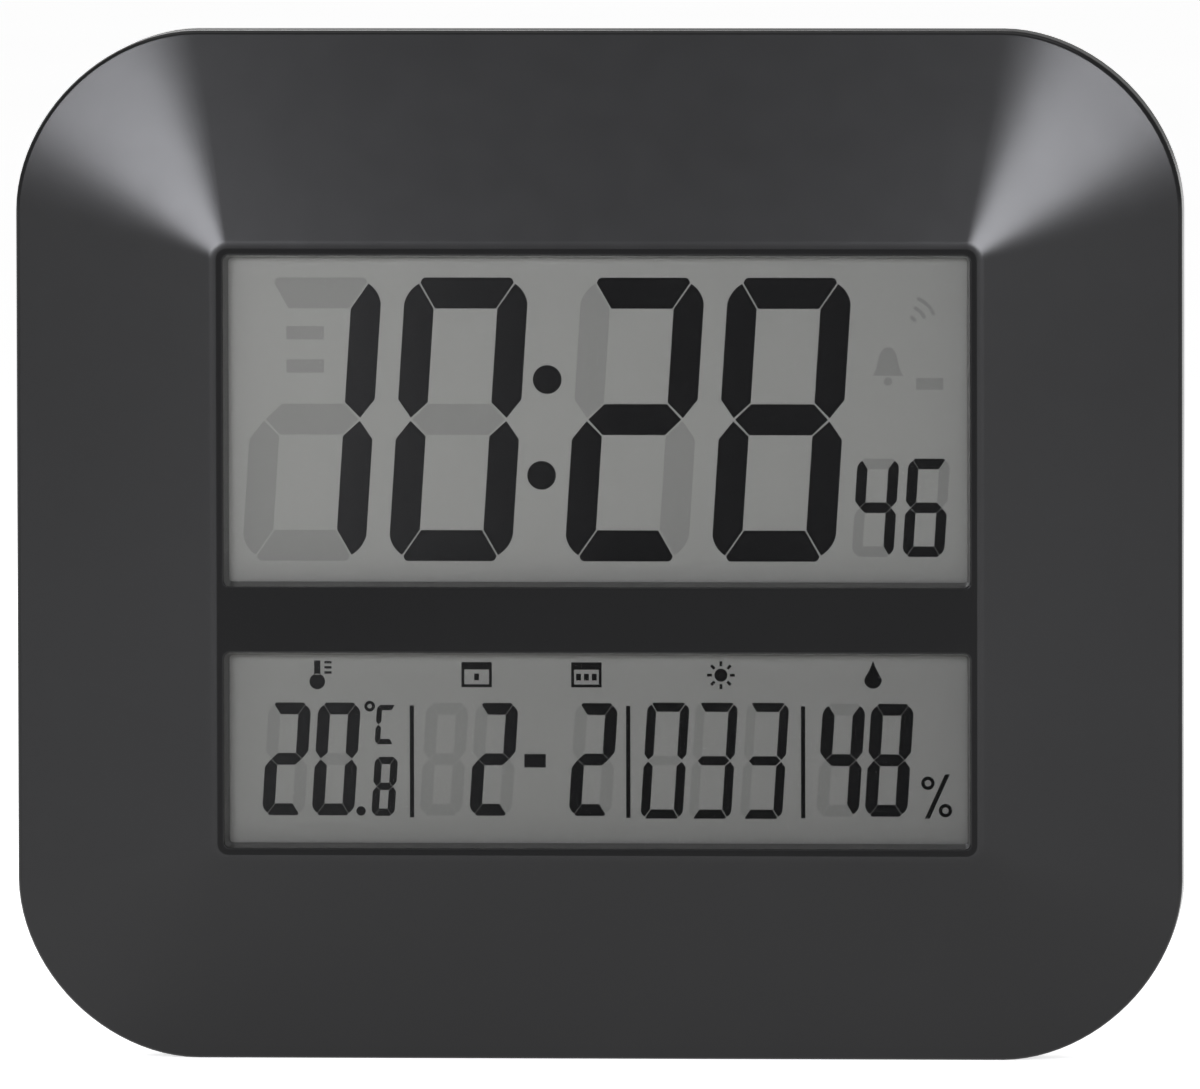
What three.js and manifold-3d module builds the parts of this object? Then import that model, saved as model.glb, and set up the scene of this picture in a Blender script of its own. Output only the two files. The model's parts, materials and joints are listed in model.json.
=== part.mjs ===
// Digital wall and table clock with one liquid crystal display behind two windows.
// Millimetres. +X is right as seen from the front, the front faces -Y, and +Z is up.
// The origin lies under the middle of the case, on the surface that the clock stands on.

import * as THREE from 'three';
import { mergeVertices } from 'three/addons/utils/BufferGeometryUtils.js';
import Module from 'manifold-3d';

const wasm = await Module();
wasm.setup();

// Case
const caseWidth = 260;
const caseHeight = 229.5;
const caseDepth = 32;
const cornerReach = 40; // from the sharp corner to the end of the straight side
const cornerRadius = 42.3;
const cornerSteps = 10;
const windowSteps = 4;
const bezelWall = 2.4;
const rimDrop = 8; // the rim lies this far behind the window block
const rimFillet = 2;
const bezelSide = 13; // from the front of the rim to the joint with the rear cover
const coverWall = 2.2;
const coverInset = 1.2; // the cover stands back from the bezel's side
const coverShoulder = 2; // straight stretch of the cover's side
const coverBackInset = 12; // the cover's flat back starts this far inside the outline
const seamGap = 0.3; // joints between the mouldings
const lipThickness = 1.2;
const lipDepth = 2.2;
const past = 1; // a cutter reaches this far past what it cuts, and a weld this far into it

// Windows
const windowWidth = 168;
const upperWindowHeight = 75.5;
const lowerWindowHeight = 45.3;
const windowBar = 13; // between the windows
const bottomBand = 46.8; // from the bottom edge to the lower window
const windowRadius = 2;
const windowDepth = 5.2; // from the front to the foot of the window's sloping wall
const windowDraft = 2.1; // the wall leans in this far over its depth, rounded edge included
const windowEdge = 0.8; // radius of the edge
const windowTightening = 0.7; // share of the draft by which the corners get sharper
const collarWall = 0.4; // the collar behind a window stands outside its outline by this much
const blockMargin = 1.6; // land between a window and the foot of the sloping panels
const blockRadius = 3.4;

// Display
const displayOverlap = 3.5; // the display reaches this far behind the bezel
const layerGap = 0.1; // between the layers of the display
const lensThickness = 1.2;
const polariserThickness = 0.3;
const polariserMargin = 1.5; // the films stand back from the edge of the glass
const glassThickness = 1.1;
const glassLedge = 6; // bare edge of the front glass that carries the contacts
const ribThickness = 1.5; // locating ribs in the bezel
const fitGap = 0.3; // moulding to display, board to boss and so on
const holderRim = 2; // side wall of the holder
const holderFloor = 1.8;
const holderBack = 2.4; // land behind the edge of the glass
const earReach = 8; // ears that take the screws
const earLength = 12;
const earInset = 22; // from the ends of the glass
const footSpread = 55; // lower ears, from the middle
const railHeight = 5; // bar of the holder behind the upper edge of the board
const clipWidth = 6;
const clipSpread = 45;
const clipThickness = 1.5;
const clipNose = 1;
const zebraThickness = 2.5;
const zebraEdge = 2.6; // from the lower edge of the glass to the middle of the strip
const zebraInset = 4; // from the side edge of the glass

// Main board
const boardThickness = 1.6;
const boardWidth = 168;
const boardTop = 96; // upper edge of the board above the base
const chipX = -12;
const crystalX = 4;
const capacitorX = 26;
const capacitorPitch = 8;
const buzzerX = 58;
const chipRadius = 7;
const chipHeight = 1.6;
const capacitorRadius = 2.5;
const capacitorHeight = 7;
const buzzerRadius = 6;
const buzzerHeight = 8.5;
const buzzerPort = 1.3; // radius of the sound hole
const crystalRadius = 1.5;
const crystalLength = 8;
const sensorWidth = 11;
const sensorHeight = 13;
const sensorDepth = 5;
const beadRadius = 1.5;
const leadRadius = 0.4;
const leadHeight = 9;

// Screws
const screwRadius = 1.3;
const screwHeadRadius = 2.8;
const screwHeadHeight = 2;
const screwClearance = 0.2;
const headClearance = 0.5;
const screwPoint = 0.45; // width of a screw's blunt end, as a share of its thread
const screwCrown = 0.65; // width of the flat on its head, as a share of the head
const housingScrewInset = 24; // from the sides of the case
const housingScrewDrop = 28; // from its top and bottom
const housingScrewGrip = 8;
const gussetThickness = 1.6; // webs that brace the housing bosses
const gussetReach = 14;
const gussetDrop = 4; // they end this far in front of the seam
const bossWall = 2.2;
const smallScrewRadius = 1;
const smallHeadRadius = 2.1;
const smallHeadHeight = 1.4;
const smallScrewGrip = 3; // length in the boss
const smallBossWall = 1.6;
const counterboreWall = 1.6;
const roundSides = 14;

// Battery bay, for two cells of 14.5 x 50.5 side by side
const cellRadius = 7.25;
const cellLength = 50.5; // with the terminal
const terminalRadius = 2.7;
const terminalHeight = 1.2;
const cellGap = 1.1; // between the cells
const cellPlay = 0.4; // round each cell
const contactThickness = 0.5;
const plateHalf = 5; // half the side of a contact plate
const dimpleRadius = 2;
const dimpleHeight = 0.6;
const cellBevel = 0.6;
const tabSize = 2.4;
const tabReach = 2;
const springLength = 4.6;
const springWire = 0.4; // radius of the wire
const springTurns = 3;
const springBaseRadius = 4;
const springTipRadius = 2.4;
const tubWall = 1.6;
const bayHeight = 133; // middle of the battery bay above the base
const doorThickness = 2;
const doorSide = 2.6; // ledge that the door lies on, at its ends
const doorEdge = 3.6; // ledge above and below
const doorGap = 0.3;
const hookWidth = 8;
const hookSpacing = 32;
const hookDepth = 2.2;
const hookReach = 2.3;
const hookRoot = 0.5; // depth of the weld between a hook and the door
const doorRadius = 1;
const gripCount = 4; // finger grooves beside the latch
const gripPitch = 2;
const gripWidth = 0.8;
const gripDepth = 0.4;
const gripLength = 12;
const gripDrop = 12; // from the upper edge of the door to the first groove
const latchWidth = 14;
const latchSlot = 0.8;
const latchLength = 9;
const notchRadius = 8;
const notchDepth = 1.4;

// Stand
const standAxisHeight = 97;
const standWidth = 74;
const standTipWidth = 58;
const standTip = 25; // lowest point of the folded leg
const standTipRadius = 7;
const standSink = 0.4; // the folded leg lies this far inside the back
const standRibCount = 2;
const hingeBlock = 4.5;
const standThickness = 4.2;
const standShell = 1.8;
const standBarrel = 2.8; // radius of the rounded hinge end
const standPinRadius = 2;
const standPinLength = 3;
const standRecess = 6.4; // depth of the recess in the back
const standGap = 0.5;
const fingerRadius = 9;

// Buttons on the back, in a column beside the battery bay
const buttonNames = ['set', 'up', 'down', 'alarm', 'unit'];
const buttonColumn = 80; // from the middle of the case
const buttonPitch = 13;
const buttonRowHeight = 150; // middle of the column above the base
const buttonWidth = 8.4;
const buttonHeight = 6;
const buttonRadius = 1.6;
const buttonPlay = 0.3;
const buttonProud = 1; // above the floor of the channel
const buttonTravel = 0.5;
const flangeMargin = 1;
const flangeThickness = 1;
const channelDepth = 1.5;
const channelMargin = 2.4;
const switchSize = 6;
const switchHeight = 3.4;
const plungerRadius = 1.7;
const plungerPlay = 0.2;
const plungerRise = 0.8;
const switchFloor = 0.8;
const keyBoardWidth = 14;
const keyBoardEdge = 3; // board beyond its screws

// Hanging hole, vents
const keyholeDrop = 26; // from the top of the case to the entry
const keyholeRadius = 4.6;
const keyholeSlot = 2.3; // half the width of the slot
const keyholeRise = 8;
const keyholePocket = 4.5;
const pocketMargin = 2;
const pocketWall = 1.5;
const ventCount = 7;
const ventPitch = 4.2;
const ventWidth = 1.6;
const ventLength = 20;
const ventInset = 16; // from the end of the main board
const grilleCount = 5; // slots over the buzzer
const grilleLength = 12;

// Wires
const wireRadius = 0.7;
const wireSpread = 8; // how far the wires swing out from the solder tabs
const wireStart = 2.5; // straight stretch at the solder tab
const wireFall = 5; // height of the first bend
const wireBulge = 6; // the wire hangs this far below the straight line
const wireLanding = 8; // from the upper edge of the board
const wireRise = 2; // straight stretch out of the board
const ribbonWidth = 7;
const ribbonLap = 4; // soldered end of the ribbon
const ribbonThickness = 0.7;
const ribbonSteps = 12;

// Planes of the stack, front to back
const frontY = -caseDepth / 2;
const backY = caseDepth / 2;
const rimY = frontY + rimDrop;
const seamY = rimY + bezelSide;
const coverFrontY = seamY + seamGap;
const skinY = backY - coverWall; // inside of the flat back
const windowFootY = frontY + windowDepth;
const lensY = windowFootY + layerGap;
const polariserY = lensY + lensThickness + layerGap;
const frontGlassY = polariserY + polariserThickness + layerGap;
const rearGlassY = frontGlassY + glassThickness + layerGap;
const reflectorY = rearGlassY + glassThickness + layerGap;
const holderY = reflectorY + polariserThickness + layerGap;
const boardY = holderY + holderFloor + layerGap;
const boardBackY = boardY + boardThickness;

// Heights of the windows and the display
const lowerWindowTop = bottomBand + lowerWindowHeight;
const upperWindowBottom = lowerWindowTop + windowBar;
const upperWindowTop = upperWindowBottom + upperWindowHeight;
const zebraZ = bottomBand - displayOverlap + zebraEdge;
const blockHeight = upperWindowTop - bottomBand + 2 * blockMargin;
const blockMiddle = (upperWindowTop + bottomBand) / 2;
const glassWidth = windowWidth + 2 * displayOverlap;
const glassBottom = bottomBand - displayOverlap;
const glassTop = upperWindowTop + displayOverlap;

const caseMaterial = new THREE.MeshStandardMaterial({ color: 0x3c3c3d, roughness: 0.5, metalness: 0 });
const coverMaterial = new THREE.MeshStandardMaterial({ color: 0x303031, roughness: 0.65, metalness: 0 });
const holderMaterial = new THREE.MeshStandardMaterial({ color: 0x1c1c1d, roughness: 0.7, metalness: 0 });
const clearMaterial = new THREE.MeshStandardMaterial({
  color: 0xf2f4f2, roughness: 0.05, metalness: 0, transparent: true, opacity: 0.25,
});
const filmMaterial = new THREE.MeshStandardMaterial({ color: 0x8f918a, roughness: 0.35, metalness: 0 });
const reflectorMaterial = new THREE.MeshStandardMaterial({ color: 0xb4b6ac, roughness: 0.4, metalness: 0.5 });
const rubberMaterial = new THREE.MeshStandardMaterial({ color: 0xd9a6a0, roughness: 0.85, metalness: 0 });
const boardMaterial = new THREE.MeshStandardMaterial({ color: 0x1f5a35, roughness: 0.5, metalness: 0 });
const blackMaterial = new THREE.MeshStandardMaterial({ color: 0x151515, roughness: 0.4, metalness: 0 });
const steelMaterial = new THREE.MeshStandardMaterial({ color: 0xb9bbbd, roughness: 0.3, metalness: 1 });
const sensorMaterial = new THREE.MeshStandardMaterial({ color: 0xe6e6e0, roughness: 0.6, metalness: 0 });
const cellMaterial = new THREE.MeshStandardMaterial({ color: 0x4a6a86, roughness: 0.35, metalness: 0.2 });
const redMaterial = new THREE.MeshStandardMaterial({ color: 0xb3271e, roughness: 0.5, metalness: 0 });
const greyMaterial = new THREE.MeshStandardMaterial({ color: 0x8c8f92, roughness: 0.5, metalness: 0 });

// Turns a closed three.js geometry into a solid for cutting and joining.
function solid(geometry) {
  let clean = geometry.clone();
  clean.deleteAttribute('normal');
  clean.deleteAttribute('uv');
  clean = mergeVertices(clean, 1e-4);
  return new wasm.Manifold(new wasm.Mesh({
    numProp: 3,
    vertProperties: clean.attributes.position.array,
    triVerts: new Uint32Array(clean.index.array),
  }));
}

// Turns a solid back into a three.js geometry.
function skin(body) {
  const mesh = body.getMesh();
  const geometry = new THREE.BufferGeometry();
  geometry.setAttribute('position', new THREE.BufferAttribute(mesh.vertProperties, 3));
  geometry.setIndex(new THREE.BufferAttribute(mesh.triVerts, 1));
  geometry.computeVertexNormals();
  return geometry;
}

function joined(bodies) {
  return bodies.reduce((whole, body) => whole.add(body));
}

// A block between two opposite corners.
function block(x0, x1, y0, y1, z0, z1) {
  const geometry = new THREE.BoxGeometry(x1 - x0, y1 - y0, z1 - z0);
  return solid(geometry.translate((x0 + x1) / 2, (y0 + y1) / 2, (z0 + z1) / 2));
}

// A round rod along Y.
function rod(radius, y0, y1, x, z, sides = roundSides) {
  const geometry = new THREE.CylinderGeometry(radius, radius, y1 - y0, sides);
  return solid(geometry.translate(x, (y0 + y1) / 2, z));
}

// A round rod along X.
function crossRod(radius, x0, x1, y, z, sides = roundSides) {
  const geometry = new THREE.CylinderGeometry(radius, radius, x1 - x0, sides).rotateZ(Math.PI / 2);
  return solid(geometry.translate((x0 + x1) / 2, y, z));
}

// Calls a maker with two places in rising order.
function between(a, b, make) {
  return make(Math.min(a, b), Math.max(a, b));
}

// A flat outline, drawn in X and Z, given its thickness along Y.
function plate(shape, y0, y1, curveSegments = 3) {
  const geometry = new THREE.ExtrudeGeometry(shape, { depth: y1 - y0, bevelEnabled: false, curveSegments });
  return solid(geometry.rotateX(Math.PI / 2).translate(0, y1, 0));
}

// A profile of radius and length turned round an axis along Y; y grows to the back.
function turned(profile, x, z, sides = roundSides) {
  const points = profile.map(([radius, y]) => new THREE.Vector2(radius, y));
  return new THREE.LatheGeometry(points, sides).translate(x, 0, z);
}

function roundedRectangle(width, height, radius, x, z) {
  const shape = new THREE.Shape();
  const left = x - width / 2;
  const right = x + width / 2;
  const low = z - height / 2;
  const high = z + height / 2;
  shape.moveTo(left + radius, low);
  shape.lineTo(right - radius, low);
  shape.absarc(right - radius, low + radius, radius, -Math.PI / 2, 0);
  shape.lineTo(right, high - radius);
  shape.absarc(right - radius, high - radius, radius, 0, Math.PI / 2);
  shape.lineTo(left + radius, high);
  shape.absarc(left + radius, high - radius, radius, Math.PI / 2, Math.PI);
  shape.lineTo(left, low + radius);
  shape.absarc(left + radius, low + radius, radius, Math.PI, 1.5 * Math.PI);
  return shape;
}

// A closed ring of points with four rounded corners in the plane y. The arc of a corner meets the
// sides at the reach, and bulges a little more than a tangent one where the radius exceeds it.
function ring({ width, height, middle, reach, radius, inset = 0, steps = cornerSteps, y }) {
  const centre = (reach + Math.sqrt(2 * radius * radius - reach * reach)) / 2;
  const start = Math.acos((centre - inset) / (radius - inset));
  const points = [];
  const corners = [[1, -1, -1], [1, 1, 0], [-1, 1, 1], [-1, -1, 2]];
  for (const [sideX, sideZ, quarter] of corners) {
    for (let step = 0; step <= steps; step += 1) {
      const sweep = start + ((Math.PI / 2 - 2 * start) * step) / steps;
      const angle = (quarter * Math.PI) / 2 + sweep;
      points.push(new THREE.Vector3(
        sideX * (width / 2 - centre) + (radius - inset) * Math.cos(angle),
        y,
        middle + sideZ * (height / 2 - centre) + (radius - inset) * Math.sin(angle),
      ));
    }
  }
  return points;
}

function caseRing(inset, y) {
  return ring({
    width: caseWidth, height: caseHeight, middle: caseHeight / 2,
    reach: cornerReach, radius: cornerRadius, inset, y,
  });
}

// A closed skin over rings that lie one behind the other, front to back.
function loft(rings) {
  const count = rings[0].length;
  const index = [];
  for (let row = 0; row + 1 < rings.length; row += 1) {
    for (let i = 0; i < count; i += 1) {
      const next = (i + 1) % count;
      const here = row * count;
      index.push(here + i, here + count + i, here + count + next);
      index.push(here + i, here + count + next, here + next);
    }
  }
  const last = (rings.length - 1) * count;
  for (let i = 1; i + 1 < count; i += 1) {
    index.push(0, i, i + 1);
    index.push(last, last + i + 1, last + i);
  }
  const geometry = new THREE.BufferGeometry();
  const positions = rings.flat().flatMap((point) => [point.x, point.y, point.z]);
  geometry.setAttribute('position', new THREE.Float32BufferAttribute(positions, 3));
  geometry.setIndex(index);
  return solid(geometry);
}

// Round edge between a flat front and a side: pairs of inset and depth behind the front.
function quarterRound(insetStart, insetEnd, depth, steps) {
  const pairs = [];
  for (let step = 0; step <= steps; step += 1) {
    const angle = (step / steps) * (Math.PI / 2);
    pairs.push([insetEnd + (insetStart - insetEnd) * Math.sin(angle), depth * (1 - Math.cos(angle))]);
  }
  return pairs;
}

const clock = new THREE.Group();

function addPiece(name, body, material) {
  const geometry = body instanceof THREE.BufferGeometry ? body : skin(body);
  const mesh = new THREE.Mesh(geometry, material);
  mesh.name = name;
  clock.add(mesh);
}

// Housing screws join the two mouldings: three on each side.
const housingBoss = screwRadius + screwClearance + bossWall;
const housingScrews = [];
const screwSide = caseWidth / 2 - housingScrewInset;
for (const x of [-screwSide, screwSide]) {
  for (const z of [housingScrewDrop, caseHeight / 2, caseHeight - housingScrewDrop]) {
    housingScrews.push({ x, z });
  }
}
const screwSeatY = coverFrontY + bossWall; // the screw heads bear here
const screwTipY = seamY - housingScrewGrip;

// The holder is screwed to the bezel through four ears, and below the display through two more,
// whose screws also hold the main board.
const holderGrowth = fitGap + holderRim; // the holder's outline beyond the glass
const holderSide = glassWidth / 2 + holderGrowth;
const holderBottom = glassBottom - holderGrowth;
const earX = holderSide + earReach / 2;
const footZ = holderBottom - earReach / 2;
const holderScrews = [];
for (const x of [-earX, earX]) {
  for (const z of [glassBottom + earInset, glassTop - earInset]) {
    holderScrews.push({ x, z });
  }
}
const footScrews = [-footSpread, footSpread].map((x) => ({ x, z: footZ }));
const smallBoss = smallScrewRadius + screwClearance + smallBossWall;
const earScrews = [...holderScrews, ...footScrews];

const windows = [[bottomBand, lowerWindowTop], [upperWindowBottom, upperWindowTop]];

function windowRing([low, high], inset, y) {
  const radius = windowRadius - windowTightening * Math.max(inset, 0);
  return ring({
    width: windowWidth - 2 * inset, height: high - low - 2 * inset, middle: (low + high) / 2,
    reach: radius, radius, steps: windowSteps, y,
  });
}

// What a window takes out of the bezel: a rounded edge, then a wall that leans in.
function windowCutter(heights) {
  const edge = quarterRound(windowEdge, 0, windowEdge, 2);
  const lean = (windowDraft - windowEdge) / (windowDepth - windowEdge);
  return loft([
    windowRing(heights, 0, frontY - past),
    ...edge.map(([inset, depth]) => windowRing(heights, inset, frontY + depth)),
    windowRing(heights, windowDraft + lean * past, windowFootY + past),
  ]);
}

function makeBezel() {
  const blockRing = (y) => ring({
    width: windowWidth + 2 * blockMargin, height: blockHeight, middle: blockMiddle,
    reach: blockRadius, radius: blockRadius, y,
  });
  const rimRings = quarterRound(0, rimFillet, rimFillet, 3)
    .map(([inset, depth]) => caseRing(inset, rimY + depth));
  const outer = loft([blockRing(frontY), ...rimRings, caseRing(0, seamY)]);
  const hollow = (thickness) => loft([
    blockRing(frontY + thickness),
    caseRing(thickness + rimFillet, rimY + thickness),
    caseRing(thickness, rimY + thickness + rimFillet),
    caseRing(thickness, seamY + past),
  ]);
  let shell = outer.subtract(hollow(bezelWall));

  const locatingRib = (grow, y0, y1) => block(
    -glassWidth / 2 - grow, glassWidth / 2 + grow, y0, y1, glassBottom - grow, glassTop + grow,
  );
  const ribHollow = holderRim + 2 * fitGap;
  const ribs = locatingRib(ribHollow + ribThickness, frontY, holderY)
    .subtract(locatingRib(ribHollow, frontY - past, holderY + past));
  const collars = windows.map((heights) => (
    loft([windowRing(heights, -collarWall, frontY), windowRing(heights, -collarWall, windowFootY)])
  ));
  const bosses = [];
  for (const { x, z } of housingScrews) {
    bosses.push(rod(housingBoss, frontY, seamY, x, z));
    bosses.push(block(x - gussetThickness / 2, x + gussetThickness / 2, frontY, seamY - gussetDrop,
      z - gussetReach, z + gussetReach));
  }
  for (const { x, z } of earScrews) {
    bosses.push(rod(smallBoss, frontY, holderY - layerGap, x, z));
  }
  // Ribs, collars and bosses start half way into the wall, so that nothing shows on its outside.
  shell = shell.add(joined([ribs, ...collars, ...bosses]).intersect(hollow(bezelWall / 2)));

  const holes = windows.map(windowCutter);
  for (const { x, z } of housingScrews) {
    holes.push(rod(screwRadius + screwClearance, screwTipY - past, seamY + past, x, z));
  }
  for (const { x, z } of earScrews) {
    holes.push(rod(smallScrewRadius + screwClearance, holderY - smallScrewGrip - fitGap, holderY + past, x, z));
  }
  return shell.subtract(joined(holes));
}

const boardBottom = footZ - earReach / 2;
const boardMiddle = (boardTop + boardBottom) / 2;

// Battery bay: contact, spring, cell and contact lie in line, with a thin gap at each joint.
const bayLength = cellLength + springLength + 2 * contactThickness + dimpleHeight + 5 * layerGap;
const bayEnd = bayLength / 2;
const bayHalfHeight = 2 * cellRadius + cellGap / 2 + cellPlay;
const cellOffset = cellRadius + cellGap / 2;
const cellY = backY - doorThickness - cellPlay - cellRadius;
const bayFloorY = cellY - cellRadius - cellPlay;
const doorHalfWidth = bayEnd + doorSide;
const doorLow = bayHeight - bayHalfHeight - doorEdge;
const doorHigh = bayHeight + bayHalfHeight + doorEdge;
const doorY = backY - doorThickness;
const ledgeY = doorY - doorGap;
const tabY = cellY - cellRadius / 2;
const tabEnd = bayEnd + tubWall + tabReach;

// Stand
const standAxisY = backY - standSink - standBarrel;
const recessY = backY - standRecess;
const recessTop = standAxisHeight + standBarrel + standGap;

// Buttons and the board under them
const channelY = backY - channelDepth;
const channelSkinY = channelY - coverWall;
const flangeY = channelSkinY - buttonPlay - flangeThickness;
const plungerTop = flangeY - layerGap;
const switchTop = plungerTop - plungerRise;
const switchY = switchTop - switchHeight;
const keyBoardBackY = switchY - layerGap;
const keyBoardY = keyBoardBackY - boardThickness;
const buttonHeights = buttonNames.map((name, i) => (
  buttonRowHeight + ((buttonNames.length - 1) / 2 - i) * buttonPitch
));
const topButton = buttonHeights[0];
const bottomButton = buttonHeights[buttonHeights.length - 1];
const keyScrewOffset = buttonHeight / 2 + flangeMargin + buttonPlay + smallBoss;
const keyBoardTop = topButton + keyScrewOffset + keyBoardEdge;
const keyBoardBottom = bottomButton - keyScrewOffset - keyBoardEdge - ribbonLap;
const keyScrews = [topButton + keyScrewOffset, bottomButton - keyScrewOffset]
  .map((z) => ({ x: buttonColumn, z }));

const keyholeZ = caseHeight - keyholeDrop;
const ventX = -boardWidth / 2 + ventInset;

function standOutline(grow, low) {
  const top = standWidth / 2 + grow;
  const bottom = standTipWidth / 2 + grow;
  const radius = standTipRadius + grow;
  const slope = (top - bottom) / (standAxisHeight - low);
  const shape = new THREE.Shape();
  shape.moveTo(-top, standAxisHeight);
  shape.lineTo(-bottom - slope * radius, low + radius);
  shape.quadraticCurveTo(-bottom, low, -bottom + radius, low);
  shape.lineTo(bottom - radius, low);
  shape.quadraticCurveTo(bottom, low, bottom + slope * radius, low + radius);
  shape.lineTo(top, standAxisHeight);
  return shape;
}

function batteryBay() {
  const outer = joined([
    block(-bayEnd - tubWall, bayEnd + tubWall, bayFloorY - tubWall, skinY,
      bayHeight - bayHalfHeight - tubWall, bayHeight + bayHalfHeight + tubWall),
    block(-doorHalfWidth - tubWall, doorHalfWidth + tubWall, ledgeY - tubWall, skinY,
      doorLow - tubWall, doorHigh + tubWall),
  ]);
  const cuts = [
    block(-doorHalfWidth, doorHalfWidth, ledgeY, backY + past, doorLow, doorHigh),
    block(-bayEnd, bayEnd, cellY, ledgeY + past, bayHeight - bayHalfHeight, bayHeight + bayHalfHeight),
    rod(notchRadius, backY - notchDepth, backY + past, 0, doorHigh),
  ];
  for (const side of [-1, 1]) {
    const z = bayHeight + side * cellOffset;
    cuts.push(crossRod(cellRadius + cellPlay, -bayEnd, bayEnd, cellY, z, 16));
    cuts.push(block(bayEnd - past, tabEnd, tabY - tabSize / 2 - seamGap, tabY + tabSize / 2 + seamGap,
      z - tabSize / 2 - seamGap, z + tabSize / 2 + seamGap));
    const slot = contactThickness + dimpleHeight + layerGap;
    cuts.push(block(bayEnd - slot, bayEnd, cellY - plateHalf - seamGap, cellY + past,
      z - plateHalf - seamGap, z + plateHalf + seamGap));
    const hookX = (side * hookSpacing) / 2;
    cuts.push(block(hookX - hookWidth / 2 - seamGap, hookX + hookWidth / 2 + seamGap,
      ledgeY - hookDepth - hookReach - past, skinY, doorLow - hookReach - past,
      bayHeight - bayHalfHeight + layerGap));
  }
  const bridgeSlot = contactThickness + dimpleHeight + layerGap;
  cuts.push(block(-bayEnd, -bayEnd + bridgeSlot, cellY - plateHalf - seamGap, cellY + past,
    bayHeight - cellOffset - plateHalf - seamGap, bayHeight + cellOffset + plateHalf + seamGap));
  return { outer, cuts };
}

// A row of upright slots in the back, about one place.
function slots(middle, count, length) {
  return Array.from({ length: count }, (_, i) => {
    const x = middle + (i - (count - 1) / 2) * ventPitch;
    return block(x - ventWidth / 2, x + ventWidth / 2, skinY - past, backY + past,
      boardMiddle - length / 2, boardMiddle + length / 2);
  });
}

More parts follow.
